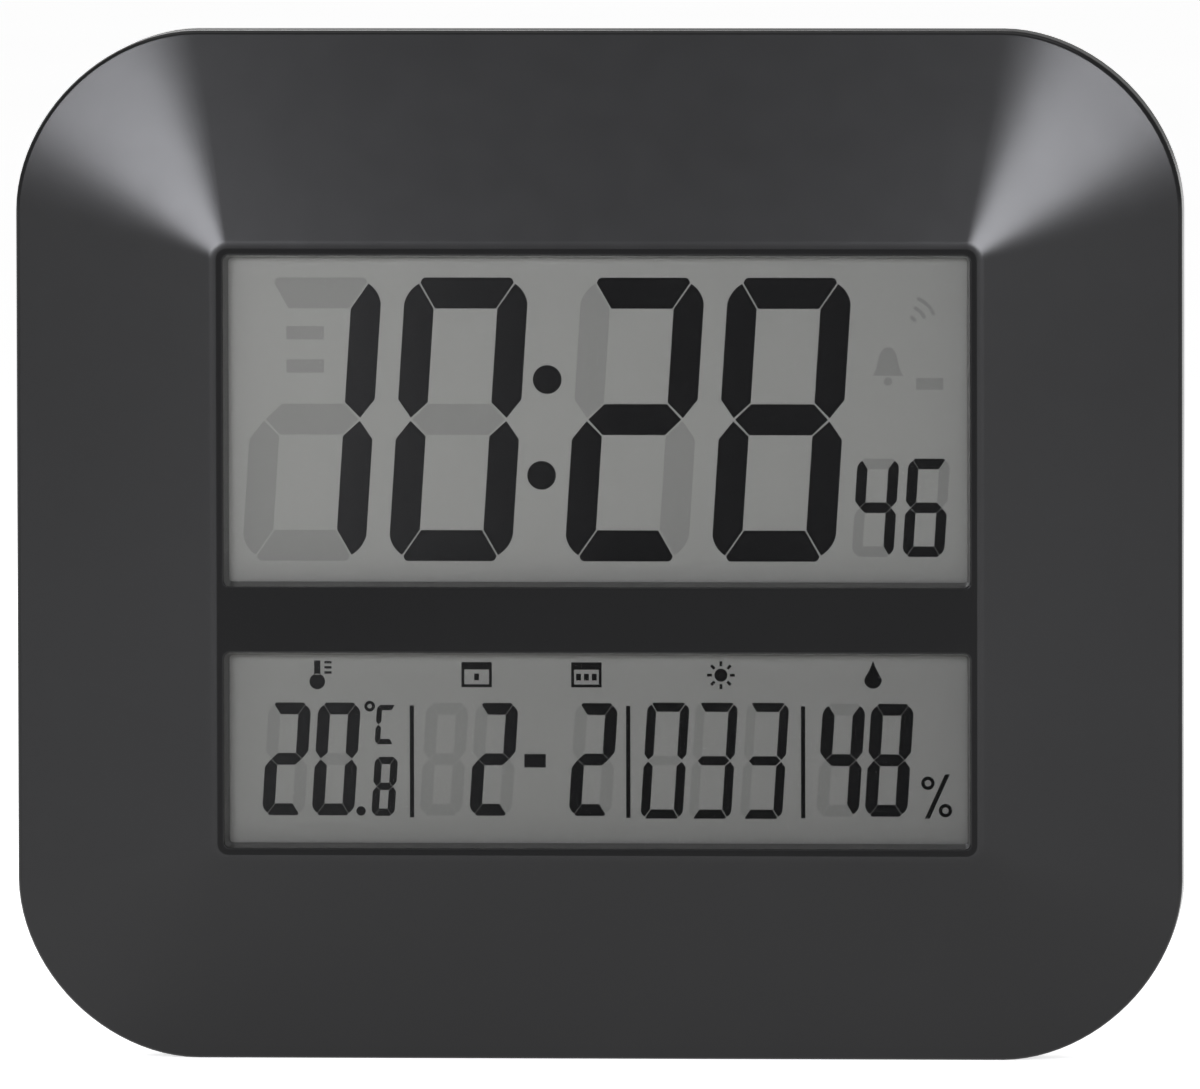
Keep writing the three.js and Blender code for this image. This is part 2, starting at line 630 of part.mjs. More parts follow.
function makeCover() {
  const edge = quarterRound(coverInset, coverBackInset, backY - coverFrontY - coverShoulder, 4).reverse();
  const outer = loft([
    caseRing(coverInset, coverFrontY),
    ...edge.map(([inset, depth]) => caseRing(inset, backY - depth)),
  ]);
  const inner = loft([
    caseRing(coverInset + coverWall, coverFrontY - past),
    ...edge.map(([inset, depth]) => caseRing(inset + coverWall, skinY - depth)),
  ]);
  const lipInset = bezelWall + seamGap;
  const lip = loft([caseRing(lipInset, seamY - lipDepth), caseRing(lipInset, coverFrontY + coverShoulder)])
    .subtract(loft([
      caseRing(lipInset + lipThickness, seamY - lipDepth - past),
      caseRing(lipInset + lipThickness, coverFrontY + coverShoulder + past),
    ]));

  const added = [lip];
  const cuts = [];
  for (const { x, z } of housingScrews) {
    const headBore = screwHeadRadius + headClearance;
    added.push(rod(headBore + counterboreWall, coverFrontY, skinY + past, x, z));
    cuts.push(rod(headBore, screwSeatY, backY + past, x, z));
    cuts.push(rod(screwRadius + screwClearance, coverFrontY - past, screwSeatY + past, x, z));
  }

  const bay = batteryBay();
  added.push(bay.outer);
  cuts.push(...bay.cuts);

  const recessSkinY = recessY - coverWall;
  const recessSide = standWidth / 2 + standGap;
  added.push(plate(standOutline(standGap + coverWall, standTip - standGap - coverWall), recessSkinY, skinY));
  added.push(block(-recessSide - coverWall, recessSide + coverWall, recessSkinY, skinY,
    standAxisHeight - past, recessTop + coverWall));
  added.push(rod(fingerRadius + coverWall, recessSkinY, skinY, 0, standTip));
  cuts.push(plate(standOutline(standGap, standTip - standGap), recessY, backY + past));
  cuts.push(block(-recessSide, recessSide, recessY, backY + past, standAxisHeight - past, recessTop));
  cuts.push(rod(fingerRadius, recessY, backY + past, 0, standTip));
  for (const side of [-1, 1]) {
    added.push(between(side * recessSide, side * (recessSide + hingeBlock), (x0, x1) => block(x0, x1,
      recessSkinY, skinY, standAxisHeight - hingeBlock, standAxisHeight + hingeBlock)));
    const pinEnd = standWidth / 2 + standPinLength + seamGap;
    cuts.push(between(side * (recessSide - past), side * pinEnd, (x0, x1) => (
      crossRod(standPinRadius + seamGap, x0, x1, standAxisY, standAxisHeight)
    )));
  }

  const channelHeight = topButton - bottomButton + buttonHeight + 2 * channelMargin;
  const channelWidth = buttonWidth + 2 * channelMargin;
  const channelShape = (grow) => roundedRectangle(channelWidth + 2 * grow, channelHeight + 2 * grow,
    buttonRadius + channelMargin + grow, buttonColumn, buttonRowHeight);
  added.push(plate(channelShape(coverWall), channelSkinY, skinY));
  cuts.push(plate(channelShape(0), channelY, backY + past));
  for (const z of buttonHeights) {
    cuts.push(plate(roundedRectangle(buttonWidth + 2 * buttonPlay, buttonHeight + 2 * buttonPlay,
      buttonRadius + buttonPlay, buttonColumn, z), channelSkinY - past, channelY + past));
  }
  for (const { x, z } of keyScrews) {
    added.push(rod(smallBoss, keyBoardBackY + layerGap, skinY, x, z));
    cuts.push(rod(smallScrewRadius + screwClearance, keyBoardY, keyBoardBackY + smallScrewGrip + past, x, z));
  }

  const pocketHalf = keyholeRadius + pocketMargin;
  const pocketLow = keyholeZ - pocketHalf;
  const pocketHigh = keyholeZ + keyholeRise + keyholeRadius;
  added.push(block(-pocketHalf - pocketWall, pocketHalf + pocketWall, skinY - keyholePocket - pocketWall, skinY,
    pocketLow - pocketWall, pocketHigh + pocketWall));
  cuts.push(block(-pocketHalf, pocketHalf, skinY - keyholePocket, skinY, pocketLow, pocketHigh));
  cuts.push(rod(keyholeRadius, skinY - past, backY + past, 0, keyholeZ, 20));
  cuts.push(rod(keyholeSlot, skinY - past, backY + past, 0, keyholeZ + keyholeRise));
  cuts.push(block(-keyholeSlot, keyholeSlot, skinY - past, backY + past, keyholeZ, keyholeZ + keyholeRise));
  cuts.push(...slots(ventX, ventCount, ventLength), ...slots(buzzerX, grilleCount, grilleLength));
  return outer.subtract(inner).add(joined(added)).subtract(joined(cuts));
}

function makeLens() {
  return block(-holderSide, holderSide, lensY, lensY + lensThickness, holderBottom, glassTop + holderGrowth);
}

// A layer of the display; the ledge leaves the contacts of the front glass bare.
function displayLayer(y, thickness, margin, ledge) {
  return block(-glassWidth / 2 + margin, glassWidth / 2 - margin, y, y + thickness,
    glassBottom + margin + ledge, glassTop - margin);
}

function makeHolder() {
  const floorEnd = holderY + holderFloor;
  const half = glassWidth / 2;
  const parts = [block(-holderSide, holderSide, polariserY, floorEnd, holderBottom, glassTop + holderGrowth)];
  for (const { x, z } of holderScrews) {
    const side = Math.sign(x);
    parts.push(between(side * (holderSide - past), side * (holderSide + earReach), (x0, x1) => (
      block(x0, x1, holderY, floorEnd, z - earLength / 2, z + earLength / 2)
    )));
  }
  for (const { x, z } of footScrews) {
    parts.push(block(x - earLength / 2, x + earLength / 2, holderY, floorEnd,
      z - earReach / 2, holderBottom + past));
  }
  const openingSide = half - holderBack;
  const opening = block(-openingSide, openingSide, holderY - past, floorEnd + past,
    glassBottom + glassLedge, glassTop - holderBack)
    .subtract(joined([
      block(-openingSide - past, openingSide + past, holderY - 2 * past, floorEnd + 2 * past,
        boardTop - clipNose, boardTop + railHeight),
      block(-railHeight / 2, railHeight / 2, holderY - 2 * past, floorEnd + 2 * past, glassBottom, glassTop),
    ]));
  const zebraSlot = block(-half + zebraInset - fitGap, half - zebraInset + fitGap, holderY - past, floorEnd + past,
    zebraZ - zebraThickness / 2 - fitGap, zebraZ + zebraThickness / 2 + fitGap);
  const glassPocket = block(-half - fitGap, half + fitGap, polariserY - past, holderY,
    glassBottom - fitGap, glassTop + fitGap);
  const cuts = [opening, zebraSlot, glassPocket];
  for (const { x, z } of earScrews) {
    cuts.push(rod(smallScrewRadius + screwClearance, holderY - past, floorEnd + past, x, z));
  }
  let holder = joined(parts).subtract(joined(cuts));
  for (const side of [-1, 1]) {
    const x = side * clipSpread;
    const clipY = boardBackY + fitGap;
    holder = holder.add(joined([
      block(x - clipWidth / 2, x + clipWidth / 2, holderY, clipY + clipThickness,
        boardTop + fitGap, boardTop + fitGap + clipThickness),
      block(x - clipWidth / 2, x + clipWidth / 2, clipY, clipY + clipThickness,
        boardTop - clipNose, boardTop + fitGap + layerGap),
    ]));
  }
  return holder;
}

function makeZebra() {
  const half = glassWidth / 2 - zebraInset;
  return block(-half, half, frontGlassY + glassThickness + layerGap, boardY - layerGap,
    zebraZ - zebraThickness / 2, zebraZ + zebraThickness / 2);
}

function makeBoard() {
  const holes = footScrews.map(({ x, z }) => (
    rod(smallScrewRadius + screwClearance, boardY - past, boardBackY + past, x, z)
  ));
  return block(-boardWidth / 2, boardWidth / 2, boardY, boardBackY, boardBottom, boardTop).subtract(joined(holes));
}

// Half section of a pan-head screw from its tip to its crown; way is 1 with the head to the back.
function screwProfile({ seat, tip, radius, headRadius, headHeight, way }) {
  return [
    [0, tip], [radius * screwPoint, tip], [radius, tip + way * radius], [radius, seat], [headRadius, seat],
    [headRadius, seat + (way * headHeight) / 2], [headRadius * screwCrown, seat + way * headHeight],
    [0, seat + way * headHeight],
  ];
}

// A profile drawn the other way is reversed, so that its faces still point outwards.
function makeScrew(screw) {
  const profile = screwProfile(screw);
  return turned(screw.way > 0 ? profile : profile.reverse(), screw.x, screw.z, screw.sides);
}

// A cell along X whose terminal points to +X or, with side -1, to -X.
function makeCell(start, z, side) {
  const shoulder = cellLength - terminalHeight;
  const profile = [
    [0, 0], [cellRadius - cellBevel, 0], [cellRadius, cellBevel], [cellRadius, shoulder - cellBevel],
    [cellRadius - cellBevel, shoulder], [terminalRadius, shoulder], [terminalRadius, cellLength], [0, cellLength],
  ];
  const points = profile.map(([radius, along]) => new THREE.Vector2(radius, along));
  return new THREE.LatheGeometry(points, 20).rotateZ((-side * Math.PI) / 2).translate(start, cellY, z);
}

class Helix extends THREE.Curve {
  // A conical coil along X from its wide end; side tells which way it rises.
  constructor(start, side, z) {
    super();
    this.start = start;
    this.side = side;
    this.z = z;
  }

  getPoint(t, target = new THREE.Vector3()) {
    const angle = 2 * Math.PI * springTurns * t;
    const radius = springBaseRadius + (springTipRadius - springBaseRadius) * t;
    const rise = springWire + (springLength - 2 * springWire) * t;
    return target.set(
      this.start + this.side * rise,
      cellY + radius * Math.cos(angle),
      this.z + radius * Math.sin(angle),
    );
  }
}

function wireSection(radius, sides) {
  const shape = new THREE.Shape();
  for (let i = 0; i < sides; i += 1) {
    const angle = (2 * Math.PI * i) / sides;
    const x = radius * Math.cos(angle);
    const y = radius * Math.sin(angle);
    if (i === 0) shape.moveTo(x, y);
    else shape.lineTo(x, y);
  }
  return shape;
}

function makeTube(curve, radius, sides, steps) {
  return new THREE.ExtrudeGeometry(wireSection(radius, sides), { steps, extrudePath: curve, bevelEnabled: false });
}

const springSteps = 8 * springTurns;

// The least clear distance between neighbouring turns of a coil.
function leastTurnGap(curve) {
  const points = curve.getPoints(springSteps * 4);
  const perTurn = (points.length - 1) / springTurns;
  let least = Infinity;
  for (let i = 0; i < points.length; i += 1) {
    for (let j = i + Math.round(perTurn / 2); j < points.length; j += 1) {
      least = Math.min(least, points[i].distanceTo(points[j]) - 2 * springWire);
    }
  }
  return least;
}

function makeContact(z, side, withTab) {
  // side 1 is the contact at the +X end; its dimple faces the cell.
  const wallSide = bayEnd - layerGap;
  const parts = [between(side * wallSide, side * (wallSide - contactThickness), (x0, x1) => (
    block(x0, x1, cellY - plateHalf, cellY + plateHalf, z - plateHalf, z + plateHalf)
  ))];
  if (withTab) {
    parts.push(block(bayEnd - layerGap - contactThickness, tabEnd, tabY - tabSize / 2, tabY + tabSize / 2,
      z - contactThickness / 2, z + contactThickness / 2));
  }
  return joined(parts);
}

function dimple(z, side) {
  const root = side * (bayEnd - layerGap - contactThickness / 2);
  const tip = side * (bayEnd - layerGap - contactThickness - dimpleHeight);
  return between(root, tip, (x0, x1) => crossRod(dimpleRadius, x0, x1, cellY, z, 10));
}

function makeBridge() {
  const x = -bayEnd + layerGap;
  return block(x, x + contactThickness, cellY - plateHalf, cellY + plateHalf,
    bayHeight - cellOffset - plateHalf, bayHeight + cellOffset + plateHalf).add(dimple(bayHeight - cellOffset, -1));
}

// From a solder tab beside the bay down to the back of the main board.
function makeWire(z, x) {
  const landing = boardTop - wireLanding;
  const points = [
    new THREE.Vector3(tabEnd + layerGap, tabY, z),
    new THREE.Vector3(tabEnd + wireStart, tabY, z),
    new THREE.Vector3(x, tabY - wireRadius, z - wireFall),
    new THREE.Vector3(x, (tabY + boardBackY) / 2 + wireRadius, (z + landing) / 2 - wireBulge),
    new THREE.Vector3(x, boardBackY + 2 * wireRise, landing + 2 * wireRadius),
    new THREE.Vector3(x, boardBackY + wireRise, landing),
    new THREE.Vector3(x, boardBackY + layerGap, landing),
  ];
  return makeTube(new THREE.CatmullRomCurve3(points, false, 'centripetal'), wireRadius, 6, 20);
}

// A flat ribbon in one plane: an S-curve of constant thickness, given its width along X.
function makeRibbon() {
  const keySide = keyBoardY - layerGap - ribbonThickness / 2;
  const boardSide = boardBackY + layerGap + ribbonThickness / 2;
  const upper = keyBoardBottom + ribbonLap;
  const lower = boardTop - 2 * ribbonLap;
  const path = new THREE.CurvePath();
  path.add(new THREE.LineCurve(new THREE.Vector2(keySide, upper), new THREE.Vector2(keySide, keyBoardBottom)));
  path.add(new THREE.CubicBezierCurve(
    new THREE.Vector2(keySide, keyBoardBottom),
    new THREE.Vector2(keySide, (keyBoardBottom + boardTop) / 2 - ribbonLap),
    new THREE.Vector2(boardSide, (keyBoardBottom + boardTop) / 2 + ribbonLap),
    new THREE.Vector2(boardSide, boardTop - ribbonLap / 2),
  ));
  path.add(new THREE.LineCurve(new THREE.Vector2(boardSide, boardTop - ribbonLap / 2),
    new THREE.Vector2(boardSide, lower)));
  const centres = path.getPoints(ribbonSteps)
    .filter((point, i, all) => i === 0 || point.distanceTo(all[i - 1]) > layerGap / 2);
  const normals = centres.map((point, i) => {
    const before = centres[Math.max(i - 1, 0)];
    const after = centres[Math.min(i + 1, centres.length - 1)];
    const along = after.clone().sub(before).normalize();
    return new THREE.Vector2(-along.y, along.x).multiplyScalar(ribbonThickness / 2);
  });
  const outline = [
    ...centres.map((point, i) => point.clone().add(normals[i])),
    ...centres.map((point, i) => point.clone().sub(normals[i])).reverse(),
  ];
  // The outline holds depth and height: it is extruded and turned so that its width lies along X.
  const geometry = new THREE.ExtrudeGeometry(new THREE.Shape(outline), { depth: ribbonWidth, bevelEnabled: false });
  const turn = new THREE.Matrix4().set(0, 0, 1, buttonColumn - ribbonWidth / 2, 1, 0, 0, 0, 0, 1, 0, 0, 0, 0, 0, 1);
  return geometry.applyMatrix4(turn);
}

function makeDoor() {
  const half = doorHalfWidth - doorGap;
  const low = doorLow + doorGap;
  const high = doorHigh - doorGap;
  let door = plate(roundedRectangle(2 * half, high - low, doorRadius, 0, (low + high) / 2), doorY, backY);
  for (const side of [-1, 1]) {
    const x = (side * hookSpacing) / 2;
    const hookTop = ledgeY - seamGap - layerGap;
    door = door.add(joined([
      block(x - hookWidth / 2, x + hookWidth / 2, hookTop - hookDepth, doorY + hookRoot, low, low + hookDepth),
      block(x - hookWidth / 2, x + hookWidth / 2, hookTop - hookDepth, hookTop,
        doorLow - hookReach, low + hookDepth),
    ]));
    const slotX = side * (latchWidth / 2 + latchSlot / 2);
    door = door.subtract(block(slotX - latchSlot / 2, slotX + latchSlot / 2, doorY - past, backY + past,
      high - latchLength, high + past));
  }
  const grooves = Array.from({ length: gripCount }, (_, i) => {
    const z = high - gripDrop - i * gripPitch;
    return block(-gripLength / 2, gripLength / 2, backY - gripDepth, backY + past, z - gripWidth, z);
  });
  return door.subtract(joined(grooves));
}

function makeStand() {
  const backPlane = backY - standSink;
  const frontPlane = backPlane - standThickness;
  const hollow = plate(standOutline(-standShell, standTip + standShell), frontPlane - past, backPlane - standShell)
    .subtract(block(-standWidth, standWidth, frontPlane - 2 * past, backPlane,
      standAxisHeight - standBarrel - standShell, standAxisHeight + past));
  const ribs = [];
  for (let i = 1; i <= standRibCount; i += 1) {
    const z = standTip + (i / (standRibCount + 1)) * (standAxisHeight - standTip);
    ribs.push(block(-standWidth, standWidth, frontPlane - 2 * past, backPlane,
      z - standShell / 2, z + standShell / 2));
  }
  const leg = plate(standOutline(0, standTip), frontPlane, backPlane).subtract(hollow.subtract(joined(ribs)));
  return joined([
    leg,
    crossRod(standBarrel, -standWidth / 2, standWidth / 2, standAxisY, standAxisHeight, 16),
    crossRod(standPinRadius, -standWidth / 2 - standPinLength, standWidth / 2 + standPinLength,
      standAxisY, standAxisHeight, 16),
  ]);
}

function makeButton(z) {
  const cap = plate(roundedRectangle(buttonWidth, buttonHeight, buttonRadius, buttonColumn, z),
    flangeY, channelY + buttonProud);
  const flange = plate(roundedRectangle(buttonWidth + 2 * flangeMargin, buttonHeight + 2 * flangeMargin,
    buttonRadius, buttonColumn, z), flangeY, flangeY + flangeThickness, 1);
  return cap.add(flange);
}

function makeSwitch(z) {
  const half = switchSize / 2;
  return block(buttonColumn - half, buttonColumn + half, switchY, switchTop, z - half, z + half)
    .subtract(rod(plungerRadius + plungerPlay, switchY + switchFloor, switchTop + past, buttonColumn, z, 12));
}

function makePlunger(z) {
  return rod(plungerRadius, switchY + switchFloor + buttonTravel + plungerPlay, plungerTop, buttonColumn, z, 10);
}

function makeKeyBoard() {
  const holes = keyScrews.map(({ x, z }) => (
    rod(smallScrewRadius + screwClearance, keyBoardY - past, keyBoardBackY + past, x, z)
  ));
  return block(buttonColumn - keyBoardWidth / 2, buttonColumn + keyBoardWidth / 2,
    keyBoardY, keyBoardBackY, keyBoardBottom, keyBoardTop).subtract(joined(holes));
}

addPiece('front_bezel', makeBezel(), caseMaterial);
addPiece('rear_cover', makeCover(), coverMaterial);
addPiece('display_lens', makeLens(), clearMaterial);
addPiece('front_polariser', displayLayer(polariserY, polariserThickness, polariserMargin, 0), filmMaterial);
addPiece('lcd_front_glass', displayLayer(frontGlassY, glassThickness, 0, 0), clearMaterial);
addPiece('lcd_rear_glass', displayLayer(rearGlassY, glassThickness, 0, glassLedge), clearMaterial);
addPiece('rear_reflector', displayLayer(reflectorY, polariserThickness, polariserMargin, glassLedge),
  reflectorMaterial);
addPiece('display_holder', makeHolder(), holderMaterial);
addPiece('zebra_strip', makeZebra(), rubberMaterial);
addPiece('main_board', makeBoard(), boardMaterial);

// Parts on the back of the main board
const partsY = boardBackY + layerGap;
// Half section of the resin drop, as shares of its radius and height
const chipProfile = [[0, 0], [1, 0], [0.9, 0.45], [0.6, 0.85], [0.25, 1], [0, 1]]
  .map(([radius, rise]) => [radius * chipRadius, partsY + rise * chipHeight]);
addPiece('controller_chip', turned(chipProfile, chipX, boardMiddle), blackMaterial);
addPiece('quartz_crystal', crossRod(crystalRadius, crystalX, crystalX + crystalLength, partsY + crystalRadius,
  boardMiddle, 10), steelMaterial);
[0, 1].forEach((i) => {
  const body = rod(capacitorRadius, partsY, partsY + capacitorHeight, capacitorX,
    boardMiddle + (i - 0.5) * capacitorPitch, 12);
  addPiece(`capacitor_${i + 1}`, body, blackMaterial);
});
const buzzerBack = partsY + buzzerHeight;
addPiece('alarm_buzzer', turned([
  [0, partsY], [buzzerRadius, partsY], [buzzerRadius, buzzerBack], [buzzerPort, buzzerBack],
  [buzzerPort, partsY + buzzerHeight / 3], [0, partsY + buzzerHeight / 3],
], buzzerX, boardMiddle, 16), blackMaterial);
addPiece('humidity_sensor', block(ventX - sensorWidth / 2, ventX + sensorWidth / 2, partsY, partsY + sensorDepth,
  boardMiddle - sensorHeight / 2, boardMiddle + sensorHeight / 2), sensorMaterial);
const beadX = ventX + sensorWidth / 2 + 4 * beadRadius;
addPiece('temperature_sensor', joined([
  solid(new THREE.SphereGeometry(beadRadius, 10, 8).translate(beadX, partsY + leadHeight, boardMiddle)),
  rod(leadRadius, partsY, partsY + leadHeight, beadX - beadRadius / 2, boardMiddle, 6),
  rod(leadRadius, partsY, partsY + leadHeight, beadX + beadRadius / 2, boardMiddle, 6),
]), blackMaterial);

// Battery bay: the upper cell's terminal points to +X, the lower one's to -X.
const upperCellZ = bayHeight + cellOffset;
const lowerCellZ = bayHeight - cellOffset;
const cellStart = -bayEnd + layerGap + contactThickness + layerGap + springLength + layerGap;
addPiece('battery_cell_1', makeCell(cellStart, upperCellZ, 1), cellMaterial);
addPiece('battery_cell_2', makeCell(-cellStart, lowerCellZ, -1), cellMaterial);
const springSeat = bayEnd - 2 * layerGap - contactThickness;
const springs = [new Helix(-springSeat, 1, upperCellZ), new Helix(springSeat, -1, lowerCellZ)];
springs.forEach((curve, i) => {
  addPiece(`battery_spring_${i + 1}`, makeTube(curve, springWire, 5, springSteps), steelMaterial);
});
console.log(`battery spring: least gap between turns ${leastTurnGap(springs[0]).toFixed(2)} mm`);
addPiece('bridge_contact', makeBridge(), steelMaterial);
addPiece('positive_contact', makeContact(upperCellZ, 1, true).add(dimple(upperCellZ, 1)), steelMaterial);
addPiece('negative_contact', makeContact(lowerCellZ, 1, true), steelMaterial);
addPiece('battery_wire_red', makeWire(upperCellZ, tabEnd + wireSpread), redMaterial);
addPiece('battery_wire_black', makeWire(lowerCellZ, tabEnd + wireSpread / 2), blackMaterial);

addPiece('battery_door', makeDoor(), coverMaterial);
addPiece('stand_leg', makeStand(), coverMaterial);

addPiece('key_board', makeKeyBoard(), boardMaterial);
addPiece('key_ribbon', makeRibbon(), greyMaterial);
buttonNames.forEach((name, i) => {
  const z = buttonHeights[i];
  addPiece(`button_${name}`, makeButton(z), coverMaterial);
  addPiece(`switch_${name}`, makeSwitch(z), blackMaterial);
  addPiece(`plunger_${name}`, makePlunger(z), greyMaterial);
});

housingScrews.forEach(({ x, z }, i) => {
  const screw = {
    x, z, seat: screwSeatY + layerGap, tip: screwTipY, way: 1, radius: screwRadius,
    headRadius: screwHeadRadius, headHeight: screwHeadHeight, sides: 12,
  };
  addPiece(`housing_screw_${i + 1}`, makeScrew(screw), steelMaterial);
});
const smallScrew = {
  way: 1, tip: holderY - smallScrewGrip, radius: smallScrewRadius,
  headRadius: smallHeadRadius, headHeight: smallHeadHeight, sides: 10,
};
holderScrews.forEach(({ x, z }, i) => {
  const seat = holderY + holderFloor + layerGap;
  addPiece(`holder_screw_${i + 1}`, makeScrew({ ...smallScrew, x, z, seat }), steelMaterial);
});
footScrews.forEach(({ x, z }, i) => {
  const seat = boardBackY + layerGap;
  addPiece(`board_screw_${i + 1}`, makeScrew({ ...smallScrew, x, z, seat }), steelMaterial);
});
keyScrews.forEach(({ x, z }, i) => {
  const screw = { ...smallScrew, x, z, way: -1, seat: keyBoardY - layerGap, tip: keyBoardBackY + smallScrewGrip };
  addPiece(`key_screw_${i + 1}`, makeScrew(screw), steelMaterial);
});

export default clock;
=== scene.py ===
"""The looks of a digital wall and table clock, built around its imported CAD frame.

Everything is in metres: +X is right as seen from the front, the front faces -Y and +Z is up.
"""

from __future__ import annotations

import json
import logging
import math
from contextlib import contextmanager
from dataclasses import dataclass, replace
from enum import Enum
from typing import Callable, Iterator, Sequence

import bmesh
import bpy
from bpy.types import Material, NodeSocket, Object, ShaderNode
from mathutils import Matrix, Vector

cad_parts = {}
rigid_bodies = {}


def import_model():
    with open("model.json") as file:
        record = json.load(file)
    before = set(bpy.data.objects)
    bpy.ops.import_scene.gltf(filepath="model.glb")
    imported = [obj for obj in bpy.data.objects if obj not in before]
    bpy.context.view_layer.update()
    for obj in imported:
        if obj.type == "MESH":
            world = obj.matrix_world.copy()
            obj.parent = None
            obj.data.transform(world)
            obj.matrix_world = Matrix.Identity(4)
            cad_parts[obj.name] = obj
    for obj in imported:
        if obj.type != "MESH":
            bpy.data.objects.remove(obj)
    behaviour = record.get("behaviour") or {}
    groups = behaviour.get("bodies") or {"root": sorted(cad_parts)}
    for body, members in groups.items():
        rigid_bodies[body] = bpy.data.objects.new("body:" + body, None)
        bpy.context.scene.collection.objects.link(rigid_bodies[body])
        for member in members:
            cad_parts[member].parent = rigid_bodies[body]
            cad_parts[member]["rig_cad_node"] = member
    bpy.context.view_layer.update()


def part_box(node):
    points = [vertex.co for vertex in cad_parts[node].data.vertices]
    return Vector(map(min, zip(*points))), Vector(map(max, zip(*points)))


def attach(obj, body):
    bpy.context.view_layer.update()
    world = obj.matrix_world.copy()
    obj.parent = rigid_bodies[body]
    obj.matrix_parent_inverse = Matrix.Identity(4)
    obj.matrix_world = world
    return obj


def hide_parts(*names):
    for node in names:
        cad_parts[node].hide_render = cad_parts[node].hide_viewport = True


LOG = logging.getLogger("clock")
MM = 0.001
NEAR = 0.02 * MM  # places closer than this count as one
PAST = 1 * MM  # a cutter reaches this far past what it cuts
Box = tuple[Vector, Vector]
Point = tuple[float, float]
Test = Callable[..., bool]
HOUSING_SCREWS = tuple(f"housing_screw_{i}" for i in range(1, 7))
SMALL_SCREWS = tuple(f"holder_screw_{i}" for i in range(1, 5)) + ("board_screw_1", "board_screw_2")
KEY_SCREWS = ("key_screw_1", "key_screw_2")


# The bench: how a piece is picked up, shaped and smoothed


class Part(Enum):
    """What a selection in edit mode is made of."""

    POINT = "VERT"
    EDGE = "EDGE"
    FACE = "FACE"


class Blend(Enum):
    """How other solids change a piece."""

    JOIN = "UNION"
    CUT = "DIFFERENCE"
    KEEP = "INTERSECT"


class Axis(Enum):
    """A direction in the frame."""

    X = "X"
    Z = "Z"


def take(*pieces: Object) -> None:
    """Selects these pieces alone and makes the last one active."""
    bpy.ops.object.select_all(action="DESELECT")
    for piece in pieces:
        piece.select_set(True)
    bpy.context.view_layer.objects.active = pieces[-1]


def settle(piece: Object, name: str) -> Object:
    """Names a piece and moves its place and turn into its mesh.

    Args:
        piece: The object, in object mode.
        name: Its name from now on.

    Returns:
        The same object.
    """
    piece.name = name
    piece.data.name = name
    take(piece)
    bpy.ops.object.transform_apply(location=True, rotation=True, scale=True)
    return piece


@contextmanager
def editing(piece: Object) -> Iterator[None]:
    """Keeps one piece in edit mode, with nothing selected at the start.

    Args:
        piece: The mesh object to edit.
    """
    take(piece)
    bpy.ops.object.mode_set(mode="EDIT")
    bpy.ops.mesh.select_all(action="DESELECT")
    yield
    bpy.ops.object.mode_set(mode="OBJECT")


def pick(piece: Object, part: Part, test: Test) -> int:
    """Selects, in edit mode, just the points, edges or faces that pass a test.

    Args:
        piece: The object in edit mode.
        part: What to select.
        test: Says of each point, edge or face whether it is wanted.

    Returns:
        How many were selected.
    """
    bpy.ops.mesh.select_mode(type=part.value)
    bpy.ops.mesh.select_all(action="DESELECT")
    mesh = bmesh.from_edit_mesh(piece.data)
    items = {Part.POINT: mesh.verts, Part.EDGE: mesh.edges, Part.FACE: mesh.faces}[part]
    wanted = [item for item in items if test(item)]
    for item in wanted:
        item.select_set(True)
    mesh.select_flush_mode()
    bmesh.update_edit_mesh(piece.data)
    return len(wanted)


def at_depth(y: float) -> Test:
    """A test for edges and faces that lie wholly in the plane y."""
    return lambda item: all(abs(vert.co.y - y) < NEAR for vert in item.verts)


def outward(piece: Object) -> None:
    """Turns all faces of a closed piece outwards."""
    with editing(piece):
        bpy.ops.mesh.select_all(action="SELECT")
        bpy.ops.mesh.normals_make_consistent(inside=False)


def soften(piece: Object, test: Test, width: float, steps: int = 3) -> None:
    """Rounds the edges that pass a test.

    Args:
        piece: The object, in object mode.
        test: Says of each edge whether it is rounded.
        width: How far the rounding reaches from the edge.
        steps: Number of faces across the rounding.
    """
    with editing(piece):
        if pick(piece, Part.EDGE, test):
            bpy.ops.mesh.bevel(offset=width, segments=steps, affect="EDGES", clamp_overlap=True)


def smooth(piece: Object, angle: float = 32) -> Object:
    """Shades a piece smoothly up to an angle between faces, the large faces staying flat.

    Args:
        piece: The object, in object mode.
        angle: Degrees between faces past which an edge stays sharp.

    Returns:
        The same object.
    """
    take(piece)
    bpy.ops.object.shade_smooth_by_angle(angle=math.radians(angle))
    weights = piece.modifiers.new("large_faces_first", "WEIGHTED_NORMAL")
    weights.keep_sharp = True
    bpy.ops.object.modifier_apply(modifier=weights.name)
    return piece


def combine(piece: Object, others: Sequence[Object], blend: Blend) -> None:
    """Joins solids to a piece, cuts them out of it or keeps what lies within them, all at once.

    Args:
        piece: The object that stays.
        others: Closed solids, which are removed afterwards.
        blend: What they do to the piece.
    """
    tray = bpy.data.collections.new("tray")
    for other in others:
        tray.objects.link(other)
    take(piece)
    step = piece.modifiers.new("combine", "BOOLEAN")
    step.operation, step.operand_type, step.collection = blend.value, "COLLECTION", tray
    step.solver = "EXACT"
    bpy.ops.object.modifier_apply(modifier=step.name)
    for other in others:
        bpy.data.objects.remove(other)
    bpy.data.collections.remove(tray)


def twin(piece: Object, name: str, shift: Sequence[float] = (0, 0, 0)) -> Object:
    """A copy of a piece with its own mesh, moved by a distance."""
    other = piece.copy()
    other.data = piece.data.copy()
    bpy.context.collection.objects.link(other)
    other.location = shift
    return settle(other, name)


